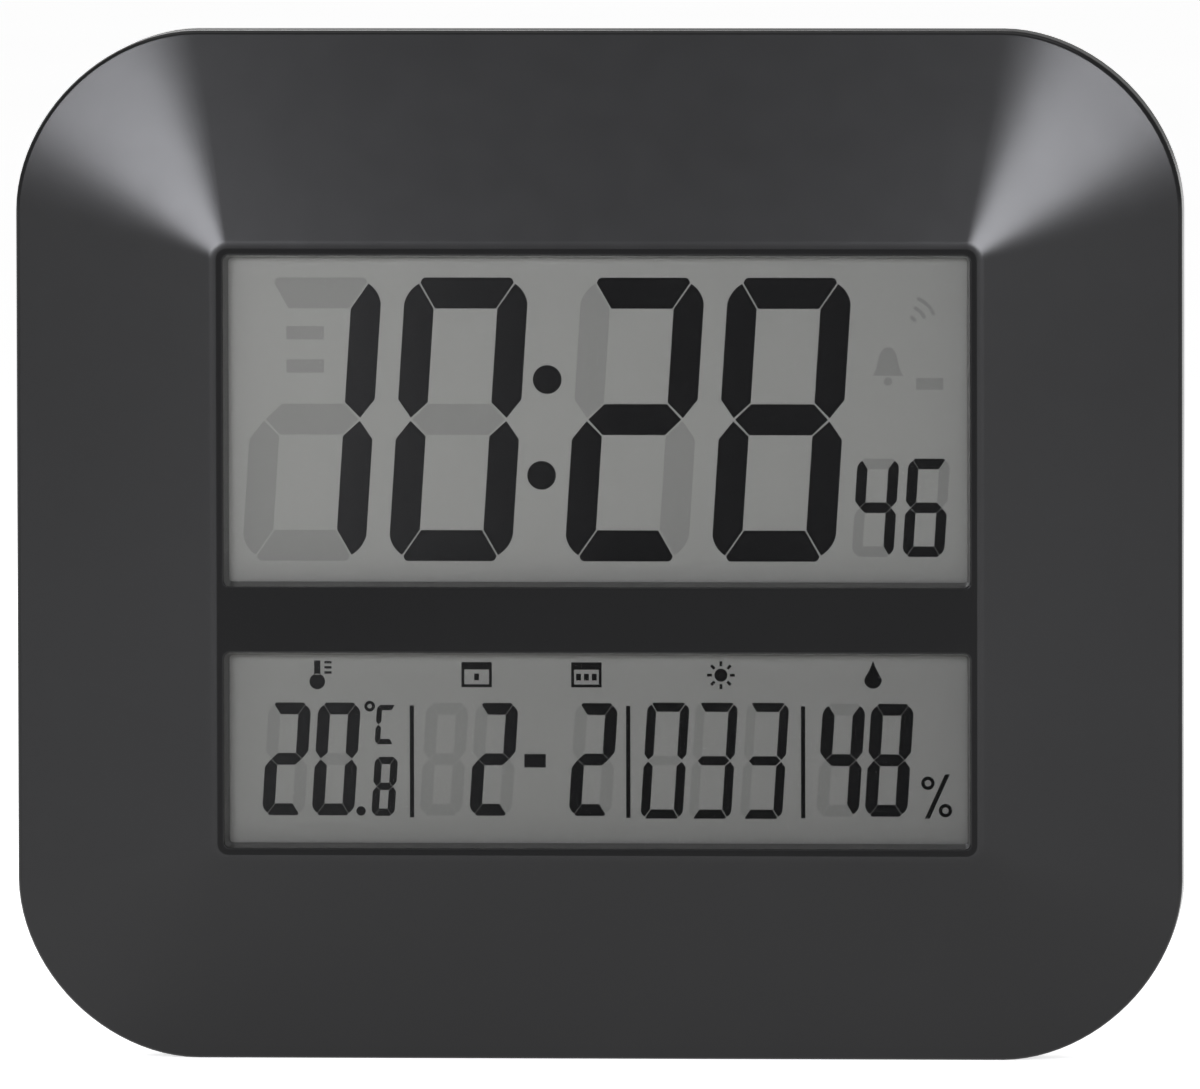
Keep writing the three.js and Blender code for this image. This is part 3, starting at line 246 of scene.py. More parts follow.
@dataclass(frozen=True)
class Outline:
    """An upright rectangle with rounded corners, drawn in X and Z."""

    width: float
    height: float
    x: float = 0.0
    z: float = 0.0
    reach: float = 0.0  # from a sharp corner to the end of the straight side
    fullness: float = 0.5  # bevel profile of the corners; 0.5 gives arcs
    steps: int = 8

    def inset(self, by: float) -> Outline:
        """The outline that runs inside this one at a distance."""
        return replace(
            self, width=self.width - 2 * by, height=self.height - 2 * by,
            reach=max(self.reach - by, NEAR) if self.reach else 0.0,
        )

    def draw(self, y: float) -> Object:
        """Makes the outline at the depth y, as a face that looks to the front."""
        bpy.ops.mesh.primitive_plane_add(
            size=1, location=(self.x, y, self.z), rotation=(math.pi / 2, 0, 0)
        )
        face = bpy.context.object
        face.scale = (self.width, self.height, 1)
        settle(face, "outline")
        if self.reach:
            with editing(face):
                bpy.ops.mesh.select_all(action="SELECT")
                bpy.ops.mesh.bevel(
                    offset=self.reach, segments=self.steps, profile=self.fullness,
                    affect="VERTICES", clamp_overlap=False,
                )
        return face


def skin(name: str, rings: Sequence[Object], tests: Sequence[Test]) -> Object:
    """Makes a closed skin over rings.

    Args:
        name: Name of the piece.
        rings: Objects that each hold one ring, from one end to the other.
        tests: For each ring, the test that its edges alone pass.

    Returns:
        The new object.
    """
    take(*rings)
    bpy.ops.object.join()
    piece = settle(bpy.context.object, name)
    with editing(piece):
        bpy.ops.mesh.select_all(action="SELECT")
        bpy.ops.mesh.delete(type="ONLY_FACE")
        for here, there in zip(tests, tests[1:]):
            pick(piece, Part.EDGE, lambda edge: here(edge) or there(edge))
            bpy.ops.mesh.bridge_edge_loops()
        for end in (tests[0], tests[-1]):
            pick(piece, Part.EDGE, end)
            bpy.ops.mesh.edge_face_add()
    outward(piece)
    return piece


def loft(name: str, rings: Sequence[tuple[Outline, float]]) -> Object:
    """A closed skin over outlines that lie one behind the other, each given with its depth."""
    return skin(name, [outline.draw(y) for outline, y in rings], [at_depth(y) for _, y in rings])


def slab(name: str, outline: Outline, front: float, back: float) -> Object:
    """A plate with the given outline between two depths."""
    return loft(name, [(outline, front), (outline, back)])


def brick(name: str, low: Sequence[float], high: Sequence[float]) -> Object:
    """A block between two opposite corners."""
    middle = [(a + b) / 2 for a, b in zip(low, high)]
    bpy.ops.mesh.primitive_cube_add(size=1, location=middle, scale=[b - a for a, b in zip(low, high)])
    return settle(bpy.context.object, name)


def rod(name: str, radius: float, front: float, back: float, x: float, z: float, sides: int = 32) -> Object:
    """A round rod along Y."""
    bpy.ops.mesh.primitive_cylinder_add(
        vertices=sides, radius=radius, depth=back - front,
        location=(x, (front + back) / 2, z), rotation=(math.pi / 2, 0, 0),
    )
    return settle(bpy.context.object, name)


def axle(name: str, radius: float, left: float, right: float, y: float, z: float, sides: int = 32) -> Object:
    """A round rod along X."""
    bpy.ops.mesh.primitive_cylinder_add(
        vertices=sides, radius=radius, depth=right - left,
        location=((left + right) / 2, y, z), rotation=(0, math.pi / 2, 0),
    )
    return settle(bpy.context.object, name)


def turned(name: str, profile: Sequence[Point], x: float = 0, z: float = 0, sides: int = 32) -> Object:
    """Makes a round piece about an axis along Y.

    Args:
        name: Name of the piece.
        profile: Radius and depth of its rings, from one end to the other; both ends are closed.
        x: Place of the axis.
        z: Place of the axis.
        sides: Number of points in a ring.

    Returns:
        The new object.
    """
    rings = []
    for radius, y in profile:
        bpy.ops.mesh.primitive_circle_add(
            vertices=sides, radius=radius, location=(x, y, z), rotation=(math.pi / 2, 0, 0)
        )
        rings.append(settle(bpy.context.object, "ring"))

    def on(ring: Point) -> Test:
        """A test for the edges of one ring."""
        radius, y = ring
        return lambda edge: all(
            abs(vert.co.y - y) < NEAR and abs(math.hypot(vert.co.x - x, vert.co.z - z) - radius) < NEAR
            for vert in edge.verts
        )

    return skin(name, rings, [on(ring) for ring in profile])


@dataclass(frozen=True)
class Shield:
    """An upright plate that narrows downwards to a foot with rounded corners."""

    top_width: float
    foot_width: float
    low: float
    high: float
    reach: float = 0.0

    def grown(self, by: float) -> Shield:
        """The shield that stands outside this one at a distance, with the same upper edge."""
        return replace(
            self, top_width=self.top_width + 2 * by, foot_width=self.foot_width + 2 * by,
            low=self.low - by, reach=max(self.reach + by, 0),
        )

    def part(self, low: float, high: float, reach: float = 0.0) -> Shield:
        """The stretch of this shield between two heights."""
        slope = (self.top_width - self.foot_width) / (self.high - self.low)
        return Shield(
            self.foot_width + slope * (high - self.low), self.foot_width + slope * (low - self.low),
            low, high, reach,
        )

    def make(self, name: str, front: float, back: float, steps: int = 10) -> Object:
        """Makes the plate between two depths."""
        bpy.ops.mesh.primitive_plane_add(
            size=1, location=(0, front, (self.low + self.high) / 2), rotation=(math.pi / 2, 0, 0)
        )
        piece = bpy.context.object
        piece.scale = (self.top_width, self.high - self.low, 1)
        settle(piece, name)
        with editing(piece):
            pick(piece, Part.POINT, lambda vert: abs(vert.co.z - self.low) < NEAR)
            bpy.ops.transform.resize(
                value=(self.foot_width / self.top_width, 1, 1), center_override=(0, front, self.low)
            )
            if self.reach:
                bpy.ops.mesh.bevel(
                    offset=self.reach, segments=steps, affect="VERTICES", clamp_overlap=False
                )
            bpy.ops.mesh.select_all(action="SELECT")
            bpy.ops.mesh.extrude_region_move(TRANSFORM_OT_translate={"value": (0, back - front, 0)})
        outward(piece)
        return piece


# Finishes


class Recipe:
    """The nodes of one procedural material, on Object coordinates."""

    def __init__(self, name: str) -> None:
        """Starts a material of this name with its surface node."""
        self.material = bpy.data.materials.new(name)
        self.material.use_nodes = True
        self.nodes = self.material.node_tree.nodes
        self.surface = self.nodes["Principled BSDF"]
        self.place = self.nodes.new("ShaderNodeTexCoord").outputs["Object"]

    def link(self, output: NodeSocket, target: NodeSocket) -> None:
        """Joins an output to an input."""
        self.material.node_tree.links.new(output, target)

    def feed(self, node: ShaderNode, **inputs: float | Sequence[float] | NodeSocket) -> None:
        """Gives inputs of a node, spaces written as underscores, a constant or another node's output."""
        for name, value in inputs.items():
            socket = node.inputs[name.replace("_", " ")]
            if isinstance(value, NodeSocket):
                self.link(value, socket)
            else:
                socket.default_value = value

    def set(self, **inputs: float | Sequence[float] | NodeSocket) -> None:
        """Gives inputs of the surface a constant or a node's output."""
        self.feed(self.surface, **inputs)

    def add(self, kind: str, **inputs: float | Sequence[float] | NodeSocket) -> ShaderNode:
        """Adds a node of a kind, with its inputs."""
        node = self.nodes.new(f"ShaderNode{kind}")
        self.feed(node, **inputs)
        return node

    def noise(self, scale: float, detail: float = 2, stretch: Sequence[float] = (1, 1, 1)) -> NodeSocket:
        """Noise of a given scale.

        Args:
            scale: Waves per metre.
            detail: Number of finer layers.
            stretch: Factors on the three coordinates.

        Returns:
            The noise value.
        """
        place = self.add("Mapping", Scale=stretch, Vector=self.place).outputs["Vector"]
        return self.add("TexNoise", Scale=scale, Detail=detail, Vector=place).outputs["Fac"]

    def waves(self, scale: float, axis: Axis) -> NodeSocket:
        """Parallel bands across an axis."""
        texture = self.add("TexWave", Scale=scale, Vector=self.place)
        texture.bands_direction = axis.value
        return texture.outputs["Fac"]

    def along(self, axis: Axis, low: float, high: float) -> NodeSocket:
        """The place along an axis, from 0 at low to 1 at high."""
        split = self.add("SeparateXYZ", Vector=self.place)
        return self.spread(split.outputs[axis.value], 0, 1, low, high)

    def spread(
        self, value: NodeSocket, low: float, high: float, start: float = 0, end: float = 1
    ) -> NodeSocket:
        """Stretches a value's range from start and end to low and high."""
        limits = {"From_Min": start, "From_Max": end, "To_Min": low, "To_Max": high}
        return self.add("MapRange", Value=value, **limits).outputs["Result"]

    def times(self, first: NodeSocket, second: NodeSocket) -> NodeSocket:
        """The product of two values."""
        node = self.nodes.new("ShaderNodeMath")
        node.operation = "MULTIPLY"
        self.link(first, node.inputs[0])
        self.link(second, node.inputs[1])
        return node.outputs["Value"]

    def paint(self, value: NodeSocket, stops: Sequence[tuple[float, Sequence[float]]]) -> ShaderNode:
        """Colours the surface by a value.

        Args:
            value: What chooses the colour, from 0 to 1.
            stops: Positions and their colours.

        Returns:
            The node that holds the colours.
        """
        node = self.add("ValToRGB", Fac=value)
        elements = node.color_ramp.elements
        while len(elements) < len(stops):
            elements.new(0.5)
        for element, (position, colour) in zip(elements, stops):
            element.position, element.color = position, (*colour, 1)
        self.set(Base_Color=node.outputs["Color"])
        return node

    def relief(self, height: NodeSocket, depth: float, below: NodeSocket | None = None) -> NodeSocket:
        """Raises the surface by a value.

        Args:
            height: The value.
            depth: Height in metres at the value 1.
            below: Another relief that this one lies on.

        Returns:
            The normal, which is already joined to the surface.
        """
        bump = self.add("Bump", Strength=1, Distance=depth, Height=height)
        if below is not None:
            self.feed(bump, Normal=below)
        self.set(Normal=bump.outputs["Normal"])
        return bump.outputs["Normal"]

    def vary_roughness(self, value: NodeSocket, low: float, high: float) -> None:
        """Lets a value move the roughness between two limits."""
        self.set(Roughness=self.spread(value, low, high))


def shade(colour: Sequence[float], factor: float) -> tuple[float, ...]:
    """The colour made lighter or darker by a factor."""
    return tuple(min(channel * factor, 1) for channel in colour)


@dataclass(frozen=True)
class Moulding:
    """Moulded plastic, resin or rubber: one tone with a fine spark-eroded grain."""

    name: str
    colour: tuple[float, float, float]
    roughness: float
    grain: float = 0.004 * MM  # height of the grain
    grain_scale: float = 2600
    gloss: float = 0.5  # specular level; 0.5 is a common plastic
    variation: float = 0.06

    def make(self) -> Material:
        """Builds the material."""
        recipe = Recipe(self.name)
        recipe.set(Specular_IOR_Level=self.gloss)
        cloud = recipe.noise(22, 3)
        recipe.paint(cloud, [
            (0.3, shade(self.colour, 1 - self.variation)), (0.7, shade(self.colour, 1 + self.variation)),
        ])
        recipe.vary_roughness(recipe.noise(140, 4), self.roughness * 0.93, self.roughness * 1.07)
        fine = recipe.relief(recipe.noise(self.grain_scale, 2), self.grain)
        recipe.relief(recipe.noise(self.grain_scale / 9, 2), self.grain * 0.8, fine)
        return recipe.material


@dataclass(frozen=True)
class Metal:
    """Plated steel with fine drawing lines."""

    name: str
    colour: tuple[float, float, float]
    roughness: float = 0.28
    line_scale: float = 900

    def make(self) -> Material:
        """Builds the material."""
        recipe = Recipe(self.name)
        recipe.set(Metallic=1.0)
        lines = recipe.noise(self.line_scale, 3, (1, 1, 0.08))
        recipe.paint(lines, [(0.3, shade(self.colour, 0.82)), (0.7, shade(self.colour, 1.1))])
        recipe.vary_roughness(lines, self.roughness * 0.75, self.roughness * 1.3)
        recipe.relief(lines, 0.004 * MM)
        return recipe.material


@dataclass(frozen=True)
class Film:
    """A layer of the display whose tone is painted lighter towards the left, a painted sheen of the light
    from that side, and darker in the lower window.
    """

    name: str
    colour: tuple[float, float, float]
    roughness: float = 0.3
    gloss: float = 0.35
    # painted sheen: the tone is painted lighter towards the left end
    left: float = 1.0  # tone at the left end, as a share of that on the right
    low: float = 1.0  # tone in the lower window, as a share of that in the upper one
    painted_sheen_span: tuple[float, float] = (-80 * MM, 85 * MM)
    step: tuple[float, float] = (85 * MM, 112 * MM)

    def make(self) -> Material:
        """Builds the material."""
        recipe = Recipe(self.name)
        recipe.set(Specular_IOR_Level=self.gloss)
        # painted sheen: a ramp along X lightens the left, and the lower window is darker
        across = recipe.along(Axis.X, *self.painted_sheen_span)
        up = recipe.along(Axis.Z, *self.step)
        most = max(self.left, 1)
        tone = recipe.times(recipe.spread(across, self.left / most, 1 / most), recipe.spread(up, self.low, 1))
        cloud = recipe.spread(recipe.noise(9, 2), 0.97, 1.03)
        recipe.paint(recipe.times(tone, cloud), [(0, (0, 0, 0)), (1, shade(self.colour, most))])
        recipe.vary_roughness(recipe.noise(1800, 2), self.roughness * 0.85, self.roughness * 1.15)
        recipe.relief(recipe.noise(5200, 1), 0.001 * MM)
        return recipe.material


@dataclass(frozen=True)
class Clear:
    """A clear pane: mostly see-through, with a polished face."""

    name: str
    tint: tuple[float, float, float]
    body: float = 0.06  # share of the light that it stops

    def make(self) -> Material:
        """Builds the material."""
        recipe = Recipe(self.name)
        recipe.set(Specular_IOR_Level=0.4, Alpha=self.body)
        recipe.paint(recipe.noise(30, 2), [(0.3, self.tint), (0.7, shade(self.tint, 1.2))])
        recipe.vary_roughness(recipe.noise(60, 3), 0.03, 0.06)
        return recipe.material


@dataclass(frozen=True)
class Laminate:
    """A circuit board: solder mask over branching copper tracks."""

    name: str
    mask: tuple[float, float, float]
    track_scale: float = 230

    def make(self) -> Material:
        """Builds the material."""
        recipe = Recipe(self.name)
        tracks = recipe.add("TexVoronoi", Scale=self.track_scale, Vector=recipe.place)
        tracks.distance, tracks.feature = "CHEBYCHEV", "DISTANCE_TO_EDGE"
        copper = shade(self.mask, 1.9)
        recipe.paint(tracks.outputs["Distance"], [(0.05, copper), (0.09, self.mask)])
        recipe.vary_roughness(recipe.noise(300, 2), 0.32, 0.45)
        recipe.relief(recipe.spread(tracks.outputs["Distance"], 1, 0, 0.04, 0.1), 0.03 * MM)
        return recipe.material


@dataclass(frozen=True)
class Wrap:
    """A cell's printed sleeve: bands of colour along X, from its flat end to its terminal."""

    name: str
    flat_end: float
    terminal_end: float
    bands: tuple[tuple[float, tuple[float, float, float]], ...]

    def make(self) -> Material:
        """Builds the material."""
        recipe = Recipe(self.name)
        if self.flat_end < self.terminal_end:
            place = recipe.along(Axis.X, self.flat_end, self.terminal_end)
        else:
            place = recipe.spread(recipe.along(Axis.X, self.terminal_end, self.flat_end), 1, 0)
        recipe.paint(place, self.bands).color_ramp.interpolation = "CONSTANT"
        recipe.set(Metallic=0.35, Coat_Weight=0.4)
        recipe.vary_roughness(recipe.noise(90, 3), 0.25, 0.36)
        return recipe.material


@dataclass(frozen=True)
class Striped:
    """A strip of parallel lines in two tones, such as a ribbon cable or a zebra strip."""

    name: str
    light: tuple[float, float, float]
    dark: tuple[float, float, float]
    line_scale: float

    def make(self) -> Material:
        """Builds the material."""
        recipe = Recipe(self.name)
        bands = recipe.waves(self.line_scale, Axis.X)
        recipe.paint(bands, [(0.35, self.dark), (0.6, self.light)])
        recipe.vary_roughness(recipe.noise(200, 2), 0.45, 0.6)
        recipe.relief(bands, 0.05 * MM)
        return recipe.material


class Finishes:
    """Every material of the clock, by what it is."""

    def __init__(self, upper_cell: Box, lower_cell: Box) -> None:
        """Makes the materials; the cells' boxes place the bands on their sleeves."""
        bands = (
            (0.0, (0.30, 0.31, 0.33)), (0.2, (0.02, 0.045, 0.09)), (0.72, (0.5, 0.5, 0.48)),
            (0.75, (0.02, 0.045, 0.09)), (0.95, (0.6, 0.6, 0.6)),
        )
        self.bezel = Moulding("bezel_plastic", (0.009, 0.009, 0.0092), 0.21, gloss=0.24).make()
        # the flat block round the windows: a darker colour, painted shade where it catches less light, and
        # lower gloss
        self.land_painted_shade = Moulding("bezel_land", (0.005, 0.005, 0.0051), 0.2, gloss=0.09).make()
        self.jamb = Moulding("window_jamb", (0.006, 0.006, 0.006), 0.12, grain=0.001 * MM, gloss=0.8).make()
        self.sign = Moulding("key_print", (0.5, 0.5, 0.49), 0.5).make()
        self.cover = Moulding("cover_plastic", (0.017, 0.017, 0.0175), 0.48, grain=0.01 * MM).make()
        self.button = Moulding("button_rubber", (0.028, 0.028, 0.029), 0.55).make()
        self.holder = Moulding("holder_plastic", (0.012, 0.012, 0.012), 0.6).make()
        self.resin = Moulding("black_resin", (0.007, 0.007, 0.007), 0.3, grain_scale=900).make()
        self.sensor = Moulding("sensor_case", (0.72, 0.72, 0.68), 0.5).make()
        self.plunger = Moulding("plunger_plastic", (0.36, 0.36, 0.36), 0.45).make()
        self.red_wire = Moulding("red_insulation", (0.43, 0.02, 0.014), 0.42).make()
        self.black_wire = Moulding("black_insulation", (0.013, 0.013, 0.013), 0.42).make()
        self.steel = Metal("plated_steel", (0.6, 0.6, 0.61)).make()
        self.spring = Metal("spring_wire", (0.56, 0.57, 0.58), 0.22, 2400).make()
        self.screw = Metal("zinc_screw", (0.5, 0.5, 0.51), 0.34, 1500).make()
        self.board = Laminate("circuit_board", (0.012, 0.085, 0.035)).make()
        self.lens = Clear("lens_acrylic", (0.02, 0.02, 0.022), 0.015).make()
        self.glass = Clear("display_glass", (0.10, 0.12, 0.11), 0.3).make()
        # the display's films carry a painted sheen, lighter towards the left
        self.film = Film("display_film", (0.1065, 0.1068, 0.099), left=1.38, low=0.76).make()
        self.reflector = Film("reflector_film", (0.5, 0.51, 0.47), 0.4).make()
        self.lit = Film(
            "lit_segments", (0.005, 0.005, 0.005), 0.5, 0.02, left=3.9, low=0.6, painted_sheen_span=(-80 * MM, 5 * MM)
        ).make()
        self.unlit = Film("unlit_segments", (0.088, 0.0883, 0.0825), 0.4, 0.2, left=1.38, low=0.85).make()
        self.zebra = Striped("zebra_rubber", (0.66, 0.36, 0.33), (0.05, 0.03, 0.03), 900).make()
        self.ribbon = Striped("ribbon_cable", (0.33, 0.34, 0.36), (0.14, 0.145, 0.155), 420).make()
        self.upper_wrap = Wrap("upper_cell_sleeve", upper_cell[0].x, upper_cell[1].x, bands).make()
        self.lower_wrap = Wrap("lower_cell_sleeve", lower_cell[1].x, lower_cell[0].x, bands).make()


def dress(piece: Object, material: Material) -> None:
    """Makes one material the whole finish of a piece."""
    piece.data.materials.clear()
    piece.data.materials.append(material)


def dress_faces(piece: Object, material: Material, test: Test) -> None:
    """Gives the faces of a piece that pass a test a second finish."""
    piece.data.materials.append(material)
    with editing(piece):
        pick(piece, Part.FACE, test)
        piece.active_material_index = len(piece.data.materials) - 1
        bpy.ops.object.material_slot_assign()


def hand_over(piece: Object, material: Material, body: str, slot: str, *nodes: str) -> None:
    """Finishes a new piece and puts it on its body.

    Args:
        piece: The piece, in place.
        material: Its finish.
        body: The CAD body that it rides on.
        slot: The record's material slot; not used.
        *nodes: CAD nodes that it stands for.
    """
    dress(piece, material)
    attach(piece, body)
    if nodes:
        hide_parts(*nodes)
    LOG.info("%s on %s, %d faces", piece.name, body, len(piece.data.polygons))


# The clock's own pieces


def centre(node: str) -> Point:
    """The middle of a CAD node in X and Z."""
    low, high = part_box(node)
    return (low.x + high.x) / 2, (low.z + high.z) / 2


def quarter(steps: int) -> list[float]:
    """The angles of a quarter turn in equal steps."""
    return [math.pi / 2 * i / steps for i in range(steps + 1)]


@dataclass
class Case:
    """Sizes that the front and the back of the housing share, read from the frame's boxes."""

    corner_reach: float = 40 * MM
    corner_fullness: float = 0.478

    def __post_init__(self) -> None:
        """Reads the boxes of the two mouldings."""
        self.low, self.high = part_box("front_bezel")
        self.cover_front_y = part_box("rear_cover")[0].y
        self.back_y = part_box("rear_cover")[1].y

    def outline(self, inset: float = 0, steps: int = 24) -> Outline:
        """The outline of the case, or one that runs inside it."""
        whole = Outline(
            self.high.x - self.low.x, self.high.z - self.low.z, 0, (self.low.z + self.high.z) / 2,
            self.corner_reach, self.corner_fullness, steps,
        )
        return whole.inset(inset)


@dataclass
class Bezel:
    """The convex front moulding: a flat block with two windows, sloping panels, conical corners and a rim."""

    case: Case
    wall: float = 2.4 * MM
    rim_drop: float = 8 * MM
    rim_reach: float = 2 * MM  # of the rim's rounding in the solid
    rim_fillet: float = 1 * MM
    block_width: float = 171.2 * MM
    block_low: float = 45.2 * MM
    block_high: float = 182.2 * MM
    block_radius: float = 3.4 * MM
    crease: float = 0.9 * MM  # rounding where the panels leave the block
    window_width: float = 168 * MM
    window_heights: tuple[tuple[float, float], ...] = ((46.8 * MM, 92.1 * MM), (105.1 * MM, 180.6 * MM))
    window_depth: float = 5.2 * MM
    window_draft: float = 1.7 * MM
    window_edge: float = 0.8 * MM
    window_radius: float = 2 * MM
    collar: float = 0.4 * MM
    boss_radius: float = 3.7 * MM
    bore: float = 1.5 * MM
    web: float = 1.6 * MM
    web_reach: float = 14 * MM
    web_drop: float = 4 * MM
    small_boss: float = 2.8 * MM
    small_bore: float = 1.2 * MM
    small_grip: float = 3 * MM
    rib: float = 1.5 * MM
    rib_gap: float = 2.6 * MM
    play: float = 0.1 * MM  # from the small bosses to what is screwed to them

    def window(self, low: float, high: float, inset: float) -> Outline:
        """The outline of a window at some way down its leaning wall."""
        radius = self.window_radius - 0.7 * max(inset, 0)
        return Outline(
            self.window_width - 2 * inset, high - low - 2 * inset, 0, (low + high) / 2, radius, steps=6
        )

    def hollow(self, wall: float) -> Object:
        """The space inside the bezel, a wall's thickness behind its outside."""
        rim_y = self.rim_y() + wall
        return loft("hollow", [
            (self.block(), self.case.low.y + wall),
            (self.case.outline(wall + self.rim_reach), rim_y),
            (self.case.outline(wall), rim_y + self.rim_reach),
            (self.case.outline(wall), self.case.high.y + PAST),
        ])

    def block(self) -> Outline:
        """The outline of the flat block round the windows."""
        return Outline(
            self.block_width, self.block_high - self.block_low, 0, (self.block_low + self.block_high) / 2,
            self.block_radius, steps=24,
        )

    def rim_y(self) -> float:
        """The depth at which the sloping panels would meet the side without a fillet."""
        slope = self.rim_drop / ((self.case.high.z - self.block_high) - self.rim_reach)
        return self.case.low.y + self.rim_drop + slope * self.rim_reach

    def fittings(self) -> Object:
        """The bosses, the webs that brace them, the ribs round the display and the windows' collars.

        Returns:
            One solid that starts in the middle of the wall.
        """
        front, seam = self.case.low.y, self.case.high.y
        holder_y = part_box("holder_screw_1")[0].y + self.small_grip
        solids = []
        for name in HOUSING_SCREWS:
            x, z = centre(name)
            solids.append(rod("boss", self.boss_radius, front, seam, x, z, 40))
            solids.append(brick(
                "web", (x - self.web / 2, front, z - self.web_reach),
                (x + self.web / 2, seam - self.web_drop, z + self.web_reach),
            ))
        for name in SMALL_SCREWS:
            solids.append(rod("small_boss", self.small_boss, front, holder_y - self.play, *centre(name)))
        low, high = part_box("lcd_front_glass")
        outer, inner = self.rib_gap + self.rib, self.rib_gap
        ribs = brick(
            "ribs", (low.x - outer, front, low.z - outer), (high.x + outer, holder_y, high.z + outer)
        )
        combine(ribs, [brick(
            "ribs_inside", (low.x - inner, front - PAST, low.z - inner),
            (high.x + inner, holder_y + PAST, high.z + inner),
        )], Blend.CUT)
        foot = front + self.window_depth
        for window in self.window_heights:
            solids.append(slab("collar", self.window(*window, -self.collar), front, foot))
        first, *rest = solids + [ribs]
        combine(first, rest, Blend.JOIN)
        combine(first, [self.hollow(self.wall / 2)], Blend.KEEP)
        return first

    def is_jamb(self, face: bmesh.types.BMFace) -> bool:
        """Whether a face belongs to the leaning wall of a window."""
        middle = face.calc_center_median()
        x, y = abs(middle.x), middle.y - self.case.low.y
        inside = self.window_width / 2 - self.window_draft - 5 * NEAR
        return (
            self.window_edge * 0.6 < y < self.window_depth and abs(face.normal.y) < 0.5
            and x < self.window_width / 2 and (x > inside or abs(face.normal.z) > 0.5)
        )

    def bores(self) -> list[Object]:
        """The screw holes in the bosses."""
        radii = dict.fromkeys(HOUSING_SCREWS, self.bore) | dict.fromkeys(SMALL_SCREWS, self.small_bore)
        return [
            rod("bore", radius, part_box(name)[0].y - 0.3 * MM, self.case.high.y + PAST, *centre(name))
            for name, radius in radii.items()
        ]

    def build(self) -> Object:
        """Models the bezel.

        Returns:
            The finished mesh.
        """
        front, seam = self.case.low.y, self.case.high.y
        shell = loft("clock_bezel", [
            (self.block(), front), (self.case.outline(), self.rim_y()), (self.case.outline(), seam),
        ])
        soften(shell, at_depth(self.rim_y()), self.rim_fillet, 8)
        soften(shell, at_depth(front), self.crease, 3)
        combine(shell, [self.hollow(self.wall)], Blend.CUT)
        combine(shell, [self.fittings()], Blend.JOIN)
        lean = (self.window_draft - self.window_edge) / self.window_depth
        foot = front + self.window_depth
        cutters = [
            loft("window", [
                (self.window(*window, self.window_edge - lean * PAST), front - PAST),
                (self.window(*window, self.window_draft + lean * PAST), foot + PAST),
            ]) for window in self.window_heights
        ]
        combine(shell, cutters + self.bores(), Blend.CUT)
        flat = at_depth(front)
        half = self.window_width / 2 - self.window_edge / 2

        def round_window(edge: bmesh.types.BMEdge) -> bool:
            """Whether an edge runs round a window in the front face."""
            return flat(edge) and is_sharp(edge) and all(abs(vert.co.x) < half for vert in edge.verts)

        soften(shell, round_window, self.window_edge, 5)
        return smooth(shell, 40)


@dataclass
class Stand:
    """The fold-out leg: a hollow tapered plate with ribs, a rounded hinge end and two pins."""

    width: float = 74 * MM
    foot_width: float = 58 * MM
    foot_reach: float = 6.5 * MM
    thickness: float = 4.2 * MM
    shell: float = 1.8 * MM
    barrel: float = 2.8 * MM
    pin_radius: float = 2 * MM
    edge: float = 0.5 * MM
    grip_count: int = 4
    grip_pitch: float = 2.2 * MM
    grip_width: float = 26 * MM
    grip_depth: float = 0.35 * MM
    grip_height: float = 1 * MM
    grip_low: float = 14 * MM  # the lowest groove above the foot
    ribs: int = 2

    def __post_init__(self) -> None:
        """Reads the leg's place from the frame."""
        low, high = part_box("stand_leg")
        self.back_y, self.low, self.pin_end = high.y, low.z, high.x
        self.axis_y, self.axis_z = high.y - self.barrel, high.z - self.barrel
        self.shape = Shield(self.width, self.foot_width, self.low, self.axis_z, self.foot_reach)

    def build(self) -> Object:
        """Models the leg.

        Returns:
            The finished mesh.
        """
        front = self.back_y - self.thickness
        leg = self.shape.make("clock_stand", front, self.back_y)
        half = self.width / 2
        combine(leg, [
            axle("barrel", self.barrel, -half, half, self.axis_y, self.axis_z, 48),
            axle("pins", self.pin_radius, -self.pin_end, self.pin_end, self.axis_y, self.axis_z),
        ], Blend.JOIN)
        inner = self.shape.grown(-self.shell)
        roof = self.axis_z - self.barrel - self.shell
        bounds = [inner.low]
        for i in range(1, self.ribs + 1):
            middle = self.low + i / (self.ribs + 1) * (self.axis_z - self.low)
            bounds += [middle - self.shell / 2, middle + self.shell / 2]
        bounds.append(roof)
        cutters = [
            inner.part(low, high, inner.reach if low == inner.low else 0.0).make(
                "compartment", front - PAST, self.back_y - self.shell
            )
            for low, high in zip(bounds[::2], bounds[1::2])
        ]
        for i in range(self.grip_count):
            z = self.low + self.grip_low + i * self.grip_pitch
            groove = Outline(self.grip_width, self.grip_height, 0, z, 0.45 * self.grip_height)
            cutters.append(slab("groove", groove, self.back_y - self.grip_depth, self.back_y + PAST))
        combine(leg, cutters, Blend.CUT)
        back = at_depth(self.back_y)
        soften(leg, lambda edge: back(edge) and is_sharp(edge) and lies_outside(edge, inner), self.edge, 4)
        return smooth(leg)


def is_sharp(edge: bmesh.types.BMEdge) -> bool:
    """Whether the faces on an edge meet at a clear angle."""
    return edge.is_manifold and edge.calc_face_angle(0) > 0.6


def lies_outside(edge: bmesh.types.BMEdge, shield: Shield) -> bool:
    """Whether both ends of an edge lie outside a shield."""
    def outside(x: float, z: float) -> bool:
        """Whether a place in X and Z lies beside or below the shield."""
        share = (z - shield.low) / (shield.high - shield.low)
        half = (shield.foot_width + share * (shield.top_width - shield.foot_width)) / 2
        return abs(x) > half - shield.reach / 2 or z < shield.low
    return all(outside(vert.co.x, vert.co.z) for vert in edge.verts)


